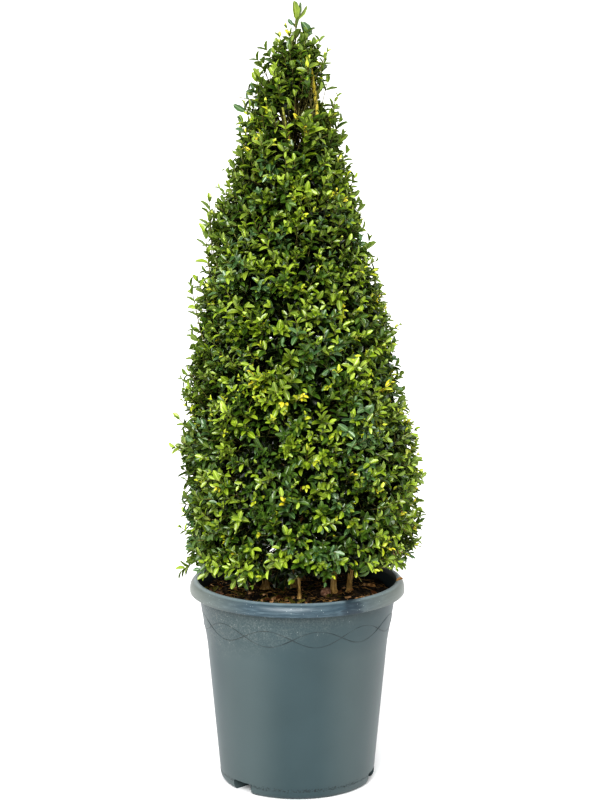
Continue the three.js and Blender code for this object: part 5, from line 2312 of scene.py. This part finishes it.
                tint = np.where(pair < self.young_pairs, rows.tip_tint, rows.tint)
                tint = self.darkened(base, tint)
                keep = self.rng.random(number) > self.fallen
                ends = base + along * size[:, None]
                if strict:
                    keep &= self.cone.depth(ends) > -self.most_proud
                if not hanging:
                    keep &= ends[:, 2] > self.cone.hem(ends)
                keep &= self.clear_of_pot(ends) & ~self.in_opening((base + ends) / 2)
                self.leaves.add(base=base[keep], along=along[keep], upper=upper[keep],
                                length=size[keep], width=(size * self.leaf_shape)[keep],
                                tint=tint[keep])

    def single_leaves(self) -> None:
        """Set the few leaves that stand out singly round the leader and the left shoulder."""
        rows = (
            # base x, y, z; tip x, y, z; width in mm; tint
            (-0.0019, -0.002, 1.0905, -0.0032, -0.006, 1.1170, 12.0, Tint.MATURE),
            (-0.0010, -0.002, 1.0905, 0.0148, -0.003, 1.1095, 6.5, Tint.MATURE),
            (-0.0010, 0.002, 1.0915, 0.0055, 0.004, 1.1155, 6.5, Tint.DEEP),
            (0.0200, -0.006, 1.0700, 0.0070, -0.009, 1.0880, 10.0, Tint.OLD_AND_SHEEN),
            (-0.0060, -0.002, 1.0830, -0.0130, -0.003, 1.0915, 5.5, Tint.OLD_AND_SHEEN),
            (-0.0720, -0.006, 0.9650, -0.0890, -0.012, 0.9745, 9.0, Tint.OLD_AND_SHEEN),
            (-0.0660, -0.006, 0.9700, -0.0665, -0.008, 0.9820, 4.0, Tint.FRESH),
        )
        base = np.array([row[:3] for row in rows])
        reach = np.array([row[3:6] for row in rows]) - base
        along = unit(reach)
        facing = np.array([[0.55, -0.8, -0.45]])
        upper = unit(facing - along * np.sum(facing * along, 1, keepdims=True))
        self.leaves.add(base=base, along=along, upper=upper, length=np.linalg.norm(reach, axis=1),
                        width=np.array([row[6] for row in rows]) * MM,
                        tint=np.array([TINTS.index(row[7]) for row in rows]))

    def darkened(self, points: np.ndarray, tint: np.ndarray) -> np.ndarray:
        """Paint shade on leaves that sit well inside the crown: give them the dark tints DEEP and SHADE.

        Args:
            points: Where the leaves sit.
            tint: Their tints as dealt.

        Returns:
            Their tints, with the painted shade given.
        """
        inside = self.cone.depth(points) + self.shade_blur * (self.rng.random(len(points)) - 0.5)
        deep = (inside > self.deep_inside) & (self.rng.random(len(points)) < self.deep_share)
        tint = np.where(deep, TINTS.index(Tint.DEEP), tint)
        return np.where(inside > self.shade_inside, TINTS.index(Tint.SHADE), tint)

    def in_opening(self, points: np.ndarray) -> np.ndarray:
        """Tell which points lie where the crown stays open to the light or bares a stem.

        Args:
            points: The points, one row each.

        Returns:
            True for each that does.
        """
        inside = np.zeros(len(points), bool)
        for x, z, wide, high, front in self.openings:
            share = ((points[:, 0] - x) / wide) ** 2 + ((points[:, 2] - z) / high) ** 2
            inside |= (share < 1) & (points[:, 1] < front)
        return inside

    def clear_of_pot(self, points: np.ndarray) -> np.ndarray:
        """Tell which points lie above the rim or above the compost inside it."""
        reach = np.hypot(points[:, 0], points[:, 1])
        return points[:, 2] > np.where(reach > self.rim_reach, self.rim_clear, self.soil_clear)

    def join_leaves(self) -> None:
        """Join the leaves' upper sides by tint, and all their undersides, and dress them."""
        points, faces = BLADE.shape()
        rows = self.leaves.gathered()
        across = np.cross(rows["upper"], rows["along"])
        stretch = np.stack([rows["length"], rows["width"], rows["length"]], 1)
        spread = points[None] * stretch[:, None, :]
        frames = np.stack([rows["along"], across, rows["upper"]], 1)
        placed = np.einsum("nvk,nkj->nvj", spread, frames) + rows["base"][:, None, :]
        uv = points[:, :2]
        for index, tint in enumerate(TINTS):
            chosen = placed[rows["tint"] == index]
            self.leaf_pieces(tint.value.name, chosen, faces, uv, tint.value.material())
        below = placed - rows["upper"][:, None, :] * 0.25 * MM
        self.leaf_pieces(UNDERSIDE.name, below, faces[:, ::-1], uv, UNDERSIDE.material())
        log.info("%d leaves", len(placed))

    def leaf_pieces(self, name: str, placed: np.ndarray, faces: np.ndarray, uv: np.ndarray,
                    material: bpy.types.Material) -> None:
        """Join placed leaves into pieces of no more than the most faces, and dress them.

        Args:
            name: The pieces' name, to which each one's number is added.
            placed: The points of each leaf.
            faces: One leaf's triangles.
            uv: One leaf's coordinates along and across the blade.
            material: The finish.
        """
        most = self.most_faces // len(faces)
        for part, begin in enumerate(range(0, len(placed), most)):
            share = placed[begin : begin + most]
            offsets = np.arange(len(share))[:, None, None] * share.shape[1]
            piece = mesh_piece(f"{name}_{part + 1}", share.reshape(-1, 3),
                               (faces[None] + offsets).reshape(-1, 3), np.tile(uv, (len(share), 1)))
            dress(piece, material, RINGS + SPRAYS)

    def build(self) -> None:
        """Grow the crown and join it into pieces."""
        self.grow_boughs()
        self.lead_limbs()
        strict = [self.above_hem(self.surface_layer()), self.above_hem(self.inner_layer())]
        strict.append(self.above_hem(self.side_shoots(strict[0], 0.75, 46)))
        strict.append(self.above_hem(self.side_shoots(strict[1], 0.5, 50)))
        loose = [self.above_hem(self.proud_layer()), self.leader_layer(), self.basal_layer()]
        for shoots in (strict[0], strict[1], *loose):
            self.join_to_boughs(shoots)
        for shoots in strict:
            self.leaf_out(shoots)
        for shoots in loose:
            self.leaf_out(shoots, strict=False, hanging=shoots is loose[-1])
        self.single_leaves()
        self.join_leaves()
        dress(self.boughs.piece("boughs", 5), BARK.material())
        dress(self.limbs.piece("lead_limb", 9), YOUNG_BARK.material())
        dress(self.side_limbs.piece("side_limbs", 9), OLIVE_BARK.material())
        dress(self.twigs.piece("twigs"), TWIG_BARK.material(), RINGS + SPRAYS)


# ---- the whole ----------------------------------------------------------------------------------


def main() -> None:
    """Build the studio, the pot, the compost, the stems and the crown, in that order."""
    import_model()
    StudioCamera().build()
    Studio().build()
    NurseryPot().build()
    Compost().build()
    bark = BARK.material()
    for stem in STEMS:
        stem.build(bark)
    Foliage().build()


if __name__ == "__main__":
    main()
